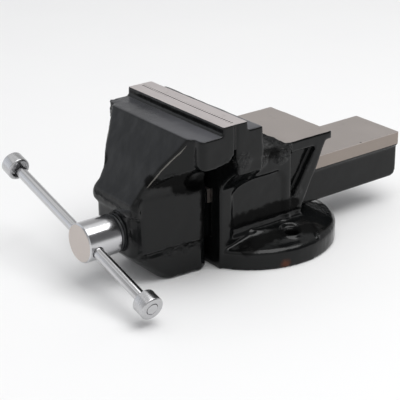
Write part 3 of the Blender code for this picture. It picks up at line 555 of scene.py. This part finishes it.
def rounded(profile: Outline, radius: float, steps: int = 3) -> Outline:
    """Round the inner corners of an outline.

    Args:
        profile: the outline's points.
        radius: how far from each corner the round starts.
        steps: the points added on each round, less one.

    Returns:
        The rounded outline.
    """
    result = [profile[0]]
    for before, here, after in zip(profile, profile[1:], profile[2:]):
        corner, back, ahead = Vector(here), Vector(before), Vector(after)
        room = min((corner - back).length * CORNER_SHARE, (ahead - corner).length * CORNER_SHARE)
        reach = min(radius, room)
        start = corner + (back - corner).normalized() * reach
        end = corner + (ahead - corner).normalized() * reach
        for step in range(steps + 1):
            share = step / steps
            first = start.lerp(corner, share)
            second = corner.lerp(end, share)
            result.append(tuple(first.lerp(second, share)))
    return result + [profile[-1]]


# ----------------------------------------------------------------- castings
@dataclass(frozen=True)
class MachinedFace:
    """One flat that is ground after painting."""

    axis: int
    level: float
    side: int
    low: Point
    high: Point
    finish: int = 1

    def holds(self, point: Vector, margin: float = 0.0) -> bool:
        """Tell whether a point is in the zone that this flat may cut."""
        return all(a - margin <= value <= b + margin
                   for value, a, b in zip(point, self.low, self.high))

    def beyond(self, point: Vector) -> float:
        """Return how far a point stands proud of the flat."""
        return self.side * (point[self.axis] - self.level)


@dataclass(frozen=True)
class RoughPatch:
    """A ball within which the casting is lumpy and the paint wrinkled."""

    centre: Point
    radius: float
    strength: float = 1.0

    def weight(self, points: np.ndarray) -> np.ndarray:
        """Return the patch's strength at each point."""
        gap = np.linalg.norm((points - np.array(self.centre)) / self.radius, axis=1)
        return self.strength * np.clip(1.25 - gap, 0.0, 0.6) / 0.6


@dataclass(frozen=True)
class Seam:
    """A line along which the surface is raised or cut in, and gets painted shade."""

    line: tuple[Point, ...]
    radius: float
    rise: float = 0.0
    # How dark the painted shade along the line is.
    shade_and_stain: float = 0.0

    def share(self, points: np.ndarray) -> np.ndarray:
        """Return 1 on the line, falling to 0 at the radius, for each point."""
        nearest = np.full(len(points), np.inf)
        for start, end in zip(self.line, self.line[1:]):
            first, last = np.array(start), np.array(end)
            span = last - first
            along = np.clip((points - first) @ span / (span @ span), 0.0, 1.0)
            gap = np.linalg.norm(points - first - along[:, None] * span, axis=1)
            nearest = np.minimum(nearest, gap)
        fall = np.clip(1.0 - nearest / self.radius, 0.0, 1.0)
        return fall * fall * (3.0 - 2.0 * fall)


@dataclass
class Casting:
    """A painted casting made from one CAD solid."""

    node: str
    name: str
    body: Body
    flats: list[MachinedFace]
    patches: list[RoughPatch]
    slide_box: tuple[Point, Point]
    ledge_level: float
    plate: str
    plate_side: int
    seams: list[Seam] = field(default_factory=list)
    voxel: float = 0.00115
    allowance: float = 0.0005
    stock_reach: float = 0.004
    seat_overlap: float = 0.0015
    paint_cover: float = 0.0006
    grip_setback: float = 0.0007
    smoothing: int = 2
    lump_height: float = 0.00022
    lump_scale: float = 85.0
    ripple_share: float = 0.35
    ripple_scale: float = 210.0
    seam_waver: float = 0.6
    seam_scale: float = 180.0
    coarse_height: float = 0.0011
    coarse_scale: float = 260.0
    coarse_level: float = 0.35
    # Dust with a painted sheen: how upward, how high and how far to the right a face must be to be
    # lightened.
    dust_sheen_tilt: float = 0.86
    dust_sheen_tilt_span: float = 0.12
    dust_sheen_rise: float = 0.004
    dust_sheen_start_x: float = -0.02
    dust_sheen_span_x: float = 0.06
    dust_sheen_least: float = 0.55
    wear_gain: float = 3.0
    sharp: float = math.radians(48)

    def build(self, finishes: list[bpy.types.Material]) -> bpy.types.Object:
        """Make the piece.

        Args:
            finishes: the enamel, then the finishes of the ground flats.

        Returns:
            The finished casting.
        """
        data = welded(self.node)
        self._leave_stock(data)
        self._wrap_plate(data)
        data = self._remesh(data)
        for _ in range(self.smoothing):
            bmesh.ops.smooth_vert(data, verts=data.verts, factor=0.5, use_axis_x=True,
                                  use_axis_y=True, use_axis_z=True)
        self._displace(data)
        for flat in self.flats:
            self._grind(data, flat)
        self._store(data)
        return publish(self.name, data, finishes, self.body, (self.node,),
                       self.sharp)

    def _leave_stock(self, data: bmesh.types.BMesh) -> None:
        """Move the flats out by the grinding allowance."""
        for flat in self.flats:
            for vertex in data.verts:
                level = abs(flat.beyond(vertex.co)) < SAME_LEVEL
                if level and flat.holds(vertex.co, self.stock_reach):
                    vertex.co[flat.axis] += flat.side * self.allowance

    def _wrap_plate(self, data: bmesh.types.BMesh) -> None:
        """Add the block that carries the paint over the plate's outside.

        Args:
            data: the casting's mesh, which gets the block as a second shell.
        """
        low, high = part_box(self.plate)
        low.z -= self.seat_overlap
        high.z += self.allowance
        if self.plate_side > 0:
            low.y -= self.paint_cover
            high.y -= self.grip_setback
        else:
            high.y += self.paint_cover
            low.y += self.grip_setback
        size, middle = high - low, (high + low) / 2
        place = Matrix.Translation(middle) @ Matrix.Diagonal((*size, 1.0))
        bmesh.ops.create_cube(data, size=1.0, matrix=place)

    def _remesh(self, data: bmesh.types.BMesh) -> bmesh.types.BMesh:
        """Rebuild the surface as even small faces."""
        mesh = bpy.data.meshes.new("blank")
        data.to_mesh(mesh)
        data.free()
        blank = bpy.data.objects.new("blank", mesh)
        bpy.context.scene.collection.objects.link(blank)
        modifier = blank.modifiers.new("remesh", "REMESH")
        modifier.mode = "VOXEL"
        modifier.voxel_size = self.voxel
        graph = bpy.context.evaluated_depsgraph_get()
        even = bpy.data.meshes.new_from_object(blank.evaluated_get(graph))
        result = bmesh.new()
        result.from_mesh(even)
        bpy.data.objects.remove(blank, do_unlink=True)
        bpy.data.meshes.remove(even)
        return result

    def _coarseness(self, points: np.ndarray) -> np.ndarray:
        """Return 0 on clean surfaces and 1 where the casting is rough."""
        weight = np.zeros(len(points))
        for patch in self.patches:
            weight = np.maximum(weight, patch.weight(points))
        return weight

    def _displace(self, data: bmesh.types.BMesh) -> None:
        """Give the surface its lumps."""
        data.normal_update()
        points = np.array([vertex.co for vertex in data.verts])
        coarse = self._coarseness(points)
        low, high = (np.array(corner) for corner in self.slide_box)
        running = np.all((points > low) & (points < high), axis=1)
        lifts = np.zeros(len(points))
        for seam in self.seams:
            lifts += seam.rise * seam.share(points)
        for vertex, rough, quiet, lift in zip(data.verts, coarse, running, lifts):
            if quiet:
                continue
            lump = noise.noise(vertex.co * self.lump_scale) * self.lump_height
            ripple = noise.noise(vertex.co * self.ripple_scale)
            lump += ripple * self.lump_height * self.ripple_share
            waver = noise.noise(vertex.co * self.seam_scale)
            lump += lift * (1.0 + self.seam_waver * waver)
            if rough > 0.0:
                crumple = noise.turbulence(vertex.co * self.coarse_scale, 3, False)
                lump += (crumple - self.coarse_level) * rough * self.coarse_height
            vertex.co += vertex.normal * lump

    def _grind(self, data: bmesh.types.BMesh, flat: MachinedFace) -> None:
        """Cut one crisp flat and give it the second finish."""
        margin = 2 * self.voxel
        zone = [face for face in data.faces
                if flat.holds(face.calc_center_median())
                and flat.beyond(face.calc_center_median()) > -margin]
        edges = {edge for face in zone for edge in face.edges}
        corners = {vertex for face in zone for vertex in face.verts}
        plane = [0.0, 0.0, 0.0]
        plane[flat.axis] = flat.level
        normal = [0.0, 0.0, 0.0]
        normal[flat.axis] = float(flat.side)
        bmesh.ops.bisect_plane(data, geom=[*zone, *edges, *corners], dist=WELD,
                               plane_co=plane, plane_no=normal)
        for vertex in data.verts:
            if flat.beyond(vertex.co) > 0.0 and flat.holds(vertex.co, WELD):
                vertex.co[flat.axis] = flat.level
        for face in data.faces:
            if all(abs(flat.beyond(vertex.co)) < WELD for vertex in face.verts):
                face.material_index = flat.finish

    def _store(self, data: bmesh.types.BMesh) -> None:
        """Store what the enamel reads: coarseness, dust with painted sheen, wear and painted shade."""
        bmesh.ops.dissolve_degenerate(data, edges=data.edges, dist=2e-6)
        data.normal_update()
        layers = [data.verts.layers.float.new(key) for key in ("coarse", "dust_and_sheen", "worn", "shade_and_stain")]
        points = np.array([vertex.co for vertex in data.verts])
        rough = self._coarseness(points)
        # Painted shade along the seams.
        shade_levels = np.zeros(len(points))
        for seam in self.seams:
            shade_levels = np.maximum(shade_levels, seam.shade_and_stain * seam.share(points))
        for vertex, value, shade_here in zip(data.verts, rough, shade_levels):
            # Dust with a painted sheen: upward faces above the ledge level are lightened, more towards
            # +X.
            upward = clamped((vertex.normal.z - self.dust_sheen_tilt) / self.dust_sheen_tilt_span)
            high = clamped((vertex.co.z - self.ledge_level) / self.dust_sheen_rise)
            vertex[layers[0]] = float(value)
            rightward = clamped((vertex.co.x - self.dust_sheen_start_x) / self.dust_sheen_span_x)
            dust_sheen_share = self.dust_sheen_least + (1.0 - self.dust_sheen_least) * rightward
            vertex[layers[1]] = dust_sheen_share * upward * high
            ridge = vertex.calc_shell_factor() - 1.0
            vertex[layers[2]] = clamped(ridge * self.wear_gain)
            vertex[layers[3]] = float(shade_here)


# ------------------------------------------------------------------- pieces
@dataclass
class JawPlate:
    """A hardened jaw plate: painted outside, ground on top, grooved inside."""

    node: str
    body: Body
    facing: int
    inset: float = 0.0005
    closing: float = 0.00012
    groove: float = 0.0007
    deepening: float = 0.0009
    end_facing: float = 0.9

    def build(self, paint: bpy.types.Material, steel: bpy.types.Material) -> bpy.types.Object:
        """Make the piece.

        Args:
            paint: the enamel.
            steel: the finish of the top and the gripping face.

        Returns:
            The finished plate.
        """
        low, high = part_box(self.node)
        grip, back = (high.y, low.y) if self.facing > 0 else (low.y, high.y)
        data = welded(self.node)
        for vertex in data.verts:
            if abs(abs(vertex.co.x) - high.x) < SAME_LEVEL:
                vertex.co.x *= 1.0 - self.inset / high.x
            if abs(vertex.co.y - back) < SAME_LEVEL:
                vertex.co.y += self.facing * self.inset
            if abs(vertex.co.y - grip) < SAME_LEVEL:
                vertex.co.y += self.facing * self.closing
            elif abs(vertex.co.y - grip + self.facing * self.groove) < SAME_LEVEL:
                vertex.co.y -= self.facing * self.deepening
        data.normal_update()
        for face in data.faces:
            face.material_index = 0 if abs(face.normal.x) > self.end_facing else 1
        return publish(self.node + "_dressed", data, [paint, steel], self.body,
                       (self.node,))


@dataclass
class EdgeBead:
    """The raised casting edge where the shield meets its wing, on one side."""

    side: int
    name: str
    line: tuple[Point, ...] = (
        (0.0287, -0.1241, 0.0825), (0.0313, -0.1211, 0.0875), (0.0343, -0.1185, 0.0925),
        (0.0370, -0.1157, 0.0975), (0.0417, -0.1096, 0.1055), (0.0466, -0.1045, 0.1125),
        (0.0512, -0.0998, 0.1205),
    )
    inward: Point = (-0.445, 0.792, -0.346)
    radius: float = 0.00055
    sunk: float = 0.00015
    approach: float = 0.006
    unevenness: float = 0.35
    unevenness_scale: float = 300.0
    tip: float = 0.25
    taper: float = 6.0
    sides: int = 10
    parts: int = 3
    steps: int = 4
    sharp: float = math.radians(80)

    def build(self, paint: bpy.types.Material, casting: bpy.types.Object) -> bpy.types.Object:
        """Make the piece by carrying a circle along the edge of the casting.

        Args:
            paint: the finish.
            casting: the finished casting the bead lies on.

        Returns:
            The finished bead.
        """
        marks = self._seated(casting)
        path = []
        for index, (here, after) in enumerate(zip(marks, marks[1:])):
            before = marks[max(index - 1, 0)]
            beyond = marks[min(index + 2, len(marks) - 1)]
            for step in range(self.steps):
                path.append(self._between(before, here, after, beyond, step / self.steps))
        path.append(marks[-1])
        data = bmesh.new()
        last = None
        for index, point in enumerate(path):
            along = (path[min(index + 1, len(path) - 1)] - path[max(index - 1, 0)]).normalized()
            share = index / (len(path) - 1)
            swell = 1.0 + self.unevenness * noise.noise(point * self.unevenness_scale)
            end = min(1.0, self.tip + self.taper * share, self.tip + self.taper * (1 - share))
            radius = self.radius * swell * end
            turn = along.to_track_quat("Z", "Y").to_matrix().to_4x4()
            loop = bmesh.ops.create_circle(data, cap_ends=False, segments=self.sides,
                                           radius=radius, matrix=Matrix.Translation(point) @ turn)
            ring = loop["verts"]
            if last is not None:
                edges = {e for v in (*ring, *last) for e in v.link_edges if len(e.link_faces) < 2}
                bmesh.ops.bridge_loops(data, edges=[e for e in edges
                                                    if len({*e.verts} & {*ring}) == 2
                                                    or len({*e.verts} & {*last}) == 2])
            last = ring
        bmesh.ops.holes_fill(data, edges=data.edges, sides=self.sides)
        if self.side < 0:
            bmesh.ops.scale(data, vec=(-1, 1, 1), verts=data.verts)
        bmesh.ops.recalc_face_normals(data, faces=data.faces)
        return publish(self.name, data, [paint], Body.JAW, (), self.sharp)

    def _seated(self, casting: bpy.types.Object) -> list[Vector]:
        """Return the line's points moved onto the casting's surface."""
        skin = BVHTree.FromPolygons([vertex.co for vertex in casting.data.vertices],
                                    [face.vertices for face in casting.data.polygons])
        inward = Vector(self.inward)
        seated = []
        for start, end in zip(self.line, self.line[1:]):
            for part in range(self.parts):
                point = Vector(start).lerp(Vector(end), part / self.parts)
                hit = skin.ray_cast(point - inward * self.approach, inward)[0]
                seated.append((hit or point) + inward * self.sunk)
        return seated

    @staticmethod
    def _between(before: Vector, here: Vector, after: Vector, beyond: Vector, t: float) -> Vector:
        """Return a point of the smooth curve from here to after."""
        return 0.5 * ((2 * here) + (after - before) * t
                      + (2 * before - 5 * here + 4 * after - beyond) * t * t
                      + (3 * here - before - 3 * after + beyond) * t * t * t)


@dataclass
class SpindleHead:
    """Polished spindle with its cross hole, shank and thread."""

    node: str = "spindle"
    sharp: float = math.radians(24)

    def build(self, finish: bpy.types.Material) -> bpy.types.Object:
        """Make the piece from the CAD solid with its facets shaded round."""
        data = welded(self.node)
        return publish("spindle_polished", data, [finish], Body.SCREW,
                       (self.node,), self.sharp)


@dataclass
class Hardware:
    """A small CAD solid that only needs its facets shaded round."""

    node: str
    body: Body
    slot: Slot
    sharp: float = math.radians(34)

    def build(self, finish: bpy.types.Material) -> bpy.types.Object:
        """Make the piece."""
        data = welded(self.node)
        return publish(self.node + "_dressed", data, [finish], self.body,
                       (self.node,), self.sharp)


@dataclass
class Handle:
    """Sliding bar with its two turned caps."""

    tilt: float = math.radians(15.6)
    centre: Point = (0.0, -0.1608, 0.039)
    bar_radius: float = 0.0045
    bar_round: float = 0.0006
    cap_radius: float = 0.0097
    cap_chamfer: float = 0.0009
    cap_round: float = 0.0003
    recess_radius: float = 0.0070
    recess_depth: float = 0.0030
    bore_flare: float = 0.0006
    bore_flare_depth: float = 0.0005
    gap: float = 0.0002

    def _frame(self) -> Matrix:
        """Return the turn and shift from the Y axis to the bar's own axis."""
        along = Vector((math.cos(self.tilt), 0.0, -math.sin(self.tilt)))
        up = Vector((math.sin(self.tilt), 0.0, math.cos(self.tilt)))
        side = along.cross(up)
        turn = Matrix((side, along, up)).transposed().to_4x4()
        return Matrix.Translation(self.centre) @ turn

    def build(self, bar: bpy.types.Material, cap: bpy.types.Material) -> None:
        """Make the bar and both caps."""
        place = self._frame()
        inverse = place.inverted()
        ends = {}
        for node in ("handle_bar", "handle_cap_left", "handle_cap_right"):
            points = [inverse @ vertex.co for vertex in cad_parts[node].data.vertices]
            ends[node] = (min(p.y for p in points), max(p.y for p in points))
        low, high = ends["handle_bar"]
        profile = [(low, 0.0), (low, self.bar_radius), (high, self.bar_radius), (high, 0.0)]
        data = spun(rounded(profile, self.bar_round), 48)
        data.transform(place)
        publish("handle_bar_polished", data, [bar], Body.HANDLE, ("handle_bar",))
        for node, side in (("handle_cap_left", -1), ("handle_cap_right", 1)):
            data = spun(self._cap_profile(ends[node], side), 64)
            data.transform(place)
            publish(node + "_turned", data, [cap], Body.HANDLE, (node,))

    def _cap_profile(self, span: tuple[float, float], side: int) -> Outline:
        """Return a cap's closed outline, from the recess round to the bore."""
        inner, outer = span if side > 0 else (span[1], span[0])
        bore = self.bar_radius + self.gap
        chamfer = self.cap_chamfer
        outline = [
            (inner + side * self.recess_depth, bore),
            (inner + side * self.recess_depth, self.recess_radius),
            (inner, self.recess_radius),
            (inner, self.cap_radius - chamfer),
            (inner + side * chamfer, self.cap_radius),
            (outer - side * chamfer, self.cap_radius),
            (outer, self.cap_radius - chamfer),
            (outer, bore + self.bore_flare),
            (outer - side * self.bore_flare_depth, bore),
            (inner + side * self.recess_depth, bore),
        ]
        return rounded(outline, self.cap_round)


# ------------------------------------------------------------------- studio
@dataclass(frozen=True)
class SoftBox:
    """A square area light that looks at the vise."""

    name: str
    place: Point
    size: float
    power: float
    colour: Point = (1.0, 1.0, 1.0)
    target: Point = (0.0, -0.02, 0.06)

    def build(self) -> None:
        """Add the light."""
        light = bpy.data.lights.new(self.name, "AREA")
        light.energy = self.power
        light.size = self.size
        light.color = self.colour
        lamp = bpy.data.objects.new(self.name, light)
        bpy.context.scene.collection.objects.link(lamp)
        lamp.location = self.place
        aim = Vector(self.target) - Vector(self.place)
        lamp.rotation_euler = aim.to_track_quat("-Z", "Y").to_euler()


@dataclass
class Studio:
    """Pale floor, soft room light and the camera."""

    camera_place: Point = (0.7839, -0.6468, 0.4666)
    azimuth: float = math.radians(52.81)
    pitch: float = math.radians(23.24)
    roll: float = math.radians(-0.56)
    lens: float = 118.95
    floor_size: float = 8.0
    floor_drop: float = 0.0004
    sky: tuple[tuple[float, float], ...] = (
        (0.0, 0.40), (0.5, 0.80), (0.62, 0.66), (0.70, 0.55), (0.86, 0.46), (0.915, 1.05),
        (0.97, 0.60),
    )
    bay: Point = (0.708, 0.555, 0.437)
    bay_colour: Point = (0.05, 0.05, 0.055)
    bay_depth: float = 0.80
    boxes: tuple[SoftBox, ...] = (
        SoftBox("front_softbox", (-1.50, -1.25, 0.75), 1.6, 3.2, (0.82, 0.88, 1.0)),
        SoftBox("top_softbox", (0.50, 0.20, 1.90), 1.6, 27.0),
    )

    def build(self) -> None:
        """Make the whole studio."""
        self._floor()
        self._room()
        for box in self.boxes:
            box.build()
        self._camera()

    def _floor(self) -> None:
        """Lay the floor plane."""
        data = bmesh.new()
        bmesh.ops.create_grid(data, x_segments=2, y_segments=2, size=self.floor_size / 2)
        mesh = bpy.data.meshes.new("floor")
        data.to_mesh(mesh)
        data.free()
        floor = bpy.data.objects.new("floor", mesh)
        floor.location.z = -self.floor_drop
        bpy.context.scene.collection.objects.link(floor)
        material, g = new_graph("pale_floor")
        grain = g.cloud(g.place(), 9.0, 3.0)
        tone = g.blend(grain, (0.84, 0.84, 0.845), (0.86, 0.86, 0.86))
        g.finish(Base_Color=tone, Roughness=0.75, Specular_IOR_Level=0.2)
        mesh.materials.append(material)

    def _room(self) -> None:
        """Light the room: bright horizon and ceiling ring, one dim bay."""
        world = bpy.data.worlds.new("studio_room")
        bpy.context.scene.world = world
        world.use_nodes = True
        g = ShaderGraph(world.node_tree)
        way = g.node("ShaderNodeTexCoord", output="Generated")
        _, _, up = g.axes(way)
        level = g.node("ShaderNodeValToRGB", {"stops": self.sky}, {0: up * 0.5 + 0.5})
        dim = g.near(way, self.bay).between(0.62, 0.30)
        shade = g.blend(dim * self.bay_depth, level, self.bay_colour)
        glow = g.node("ShaderNodeBackground", inputs={"Color": shade, "Strength": 1.0})
        g.node("ShaderNodeOutputWorld", inputs={"Surface": glow})

    def _camera(self) -> None:
        """Set the camera at the matched view."""
        flat = math.cos(self.pitch)
        forward = Vector((-math.sin(self.azimuth) * flat, math.cos(self.azimuth) * flat,
                          -math.sin(self.pitch)))
        right = forward.cross(Vector((0, 0, 1))).normalized()
        up = right.cross(forward)
        level = right * math.cos(self.roll) + up * math.sin(self.roll)
        above = up * math.cos(self.roll) - right * math.sin(self.roll)
        lens = bpy.data.cameras.new("camera")
        lens.lens = self.lens
        lens.sensor_width = 36.0
        lens.clip_end = 50.0
        camera = bpy.data.objects.new("camera", lens)
        bpy.context.scene.collection.objects.link(camera)
        turn = Matrix((level, above, -forward)).transposed().to_4x4()
        camera.matrix_world = Matrix.Translation(self.camera_place) @ turn
        bpy.context.scene.camera = camera
        bpy.context.scene.view_settings.view_transform = "Standard"


# --------------------------------------------------------------------- main
def body_casting() -> Casting:
    """Return the fixed body with its ground flats, rough patches and seams."""
    anvil = MachinedFace(2, ANVIL_TOP, 1, (-0.045, 0.0040, 0.086), (0.045, 0.060, 0.0935))
    top = MachinedFace(2, PLATE_TOP, 1, (-0.07, -0.0655, 0.1265), (0.07, -0.0515, 0.132), 2)
    return Casting(
        node="fixed_body",
        name="fixed_body_casting",
        body=Body.BASE,
        flats=[anvil, top],
        patches=[
            RoughPatch((0.050, -0.026, 0.088), 0.014),
            RoughPatch((0.039, -0.002, 0.0885), 0.012, 1.7),
            RoughPatch((0.022, -0.001, 0.0885), 0.009, 1.4),
            RoughPatch((-0.050, -0.026, 0.088), 0.014),
            RoughPatch((-0.039, -0.002, 0.0885), 0.012, 1.2),
            RoughPatch((0.0490, -0.043, 0.0190), 0.005, 0.5),
            RoughPatch((0.0385, 0.017, 0.045), 0.006, 0.5),
            RoughPatch((0.0385, 0.028, 0.066), 0.005, 0.35),
            RoughPatch((0.060, -0.058, 0.098), 0.008, 0.8),
        ],
        slide_box=((-0.0275, -0.2, 0.0225), (0.0275, 0.2, 0.0665)),
        ledge_level=DUST_AND_SHEEN_LEVEL,
        plate="fixed_jaw_plate",
        plate_side=-1,
        seams=[
            Seam(((0.0494, 0.0239, 0.0180), (0.0681, 0.0158, 0.0160)), 0.0030, 0.0011),
            Seam(((0.0400, -0.0300, 0.0230), (0.0420, -0.0120, 0.0200)), 0.0040, 0.0014),
            Seam(((0.0400, -0.0470, 0.0300), (0.0400, 0.0200, 0.0290)), 0.0030, -0.0010),
            # Painted shade along the lower side panel.
            Seam(((0.0400, -0.0468, 0.0360), (0.0400, -0.0200, 0.0370), (0.0400, 0.0150, 0.0360)),
                 0.0120, 0.0, 1.15),
            # Painted shade on the flange round the bench hole.
            Seam(((0.0500, -0.0440, 0.0170), (0.0500, -0.0200, 0.0175), (0.0560, 0.0200, 0.0165)),
                 0.0130, 0.0, 1.2),
            Seam(((0.0385, 0.0381, 0.0799), (0.0385, 0.0153, 0.0416)), 0.0024, 0.0004),
            # Painted shade low on the fixed jaw's front, and over the neck.
            Seam(((0.0430, -0.0600, 0.0900), (0.0560, -0.0600, 0.0960)), 0.0060, 0.0, 0.9),
            Seam(((0.0280, -0.0420, 0.0890), (0.0400, -0.0060, 0.0885)), 0.0160, 0.0, 0.8),
        ],
    )


def jaw_seams(side: int) -> list[Seam]:
    """Return the creases and painted shade on one side of the moving jaw.

    Args:
        side: 1 for the right side, -1 for the left.

    Returns:
        The crease above the chin, cut in and darkened by painted shade, and painted shade
        under the wing, in the gap, along the plate's wall and in the cove.
    """
    return [
        # Cut-in crease above the chin, darkened by painted shade.
        Seam(((side * 0.0275, -0.1340, 0.0246), (side * 0.0300, -0.1050, 0.0256),
              (side * 0.0325, -0.0700, 0.0252)), 0.0034, -0.0019, 1.3),
        # Painted shade under the wing, in the gap, along the plate's wall and in the cove.
        Seam(((side * 0.0310, -0.1218, 0.0870), (side * 0.0310, -0.0946, 0.0825),
              (side * 0.0325, -0.0774, 0.0760)), 0.0105, 0.0, 1.25),
        Seam(((side * 0.0325, -0.0730, 0.0800), (side * 0.0325, -0.0730, 0.0300)),
             0.0070, 0.0, 1.1),
        Seam(((0.0, -0.0775, 0.1262), (side * 0.0600, -0.0775, 0.1262)), 0.0040, 0.0, 0.75),
        Seam(((side * 0.0325, -0.0930, 0.0790), (side * 0.0360, -0.0720, 0.0760)),
             0.0160, 0.0, 1.6),
    ]


def jaw_casting() -> Casting:
    """Return the moving jaw with its ground flats, rough patches and seams."""
    slide_top = MachinedFace(2, SLIDE_TOP, 1, (-0.030, -0.0655, 0.060), (0.030, 0.150, 0.068))
    right = MachinedFace(0, SLIDE_HALF_WIDTH, 1, (0.022, -0.0655, 0.0532),
                         (0.030, 0.150, 0.0655))
    left = MachinedFace(0, -SLIDE_HALF_WIDTH, -1, (-0.030, -0.0655, 0.0532),
                        (-0.022, 0.150, 0.0655))
    top = MachinedFace(2, PLATE_TOP, 1, (-0.07, -0.0785, 0.1265), (0.07, -0.0645, 0.132), 2)
    return Casting(
        node="moving_jaw",
        name="moving_jaw_casting",
        body=Body.JAW,
        flats=[slide_top, right, left, top],
        patches=[
            RoughPatch((-0.0615, -0.0950, 0.1110), 0.012, 1.7),
            RoughPatch((0.0290, -0.128, 0.0240), 0.006, 0.6),
            RoughPatch((0.0300, -0.105, 0.0240), 0.006, 0.8),
            RoughPatch((0.0310, -0.090, 0.0240), 0.006, 0.8),
            RoughPatch((0.0320, -0.075, 0.0240), 0.006, 0.6),
            RoughPatch((0.0580, -0.072, 0.0970), 0.007, 0.8),
        ],
        slide_box=((-0.0275, -0.0660, 0.0), (0.0275, 0.2, 0.0665)),
        ledge_level=DUST_AND_SHEEN_LEVEL,
        plate="moving_jaw_plate",
        plate_side=1,
        seams=jaw_seams(-1) + jaw_seams(1),
    )


def main() -> None:
    """Build the studio and every piece of the vise."""
    logging.basicConfig(level=logging.INFO, format="%(message)s")
    Studio().build()
    paint = Enamel().material()
    anvil_steel = GroundSteel(name="ground_anvil", paint_line=0.0058).material()
    slide_steel = GroundSteel(name="ground_slide", side_level=0.0645,
                              pits=((0.0255, 0.1015, 0.065),)).material()
    plate_steel = GroundSteel(name="ground_plate", colour=(0.72, 0.675, 0.67),
                              shade=(0.64, 0.595, 0.59)).material()
    body_casting().build([paint, anvil_steel, plate_steel])
    jaw = jaw_casting().build([paint, slide_steel, plate_steel])
    # Painted highlight: a lighter enamel on the bead stands in for the glint along the shield's edge.
    highlight_paint = Enamel(name="edge_highlight_enamel", colour=(0.13, 0.122, 0.112)).material()
    EdgeBead(1, "shield_edge_right").build(highlight_paint, jaw)
    EdgeBead(-1, "shield_edge_left").build(highlight_paint, jaw)
    JawPlate("fixed_jaw_plate", Body.BASE, -1).build(paint, plate_steel)
    JawPlate("moving_jaw_plate", Body.JAW, 1).build(paint, plate_steel)
    head = TurnedSteel("polished_spindle", (0.64, 0.64, 0.655), 0.17, face_level=-0.1682)
    SpindleHead().build(head.material())
    bar = TurnedSteel("polished_bar", (0.60, 0.60, 0.61), 0.16, axis=0)
    cap = TurnedSteel("turned_cap", (0.58, 0.58, 0.59), 0.26, axis=0)
    Handle().build(bar.material(), cap.material())
    zinc = TurnedSteel("zinc_plate", (0.50, 0.51, 0.53), 0.34).material()
    black_steel = TurnedSteel("black_screw", (0.06, 0.06, 0.065), 0.38).material()
    spring = TurnedSteel("spring_wire", (0.22, 0.22, 0.24), 0.34).material()
    iron = TurnedSteel("nut_iron", (0.10, 0.095, 0.09), 0.58).material()
    for label in ("left", "right"):
        Hardware("fixed_plate_screw_" + label, Body.BASE, Slot.SCREW).build(black_steel)
        Hardware("moving_plate_screw_" + label, Body.JAW, Slot.SCREW).build(black_steel)
    Hardware("thrust_washer", Body.JAW, Slot.ZINC).build(zinc)
    Hardware("spring_washer", Body.JAW, Slot.ZINC).build(zinc)
    Hardware("split_pin", Body.SCREW, Slot.ZINC).build(zinc)
    Hardware("retaining_spring", Body.JAW, Slot.SPRING).build(spring)
    Hardware("spindle_nut", Body.BASE, Slot.IRON).build(iron)
    Hardware("nut_bolt", Body.BASE, Slot.ZINC).build(zinc)
    Hardware("nut_bolt_washer", Body.BASE, Slot.ZINC).build(zinc)


if __name__ == "__main__":
    main()
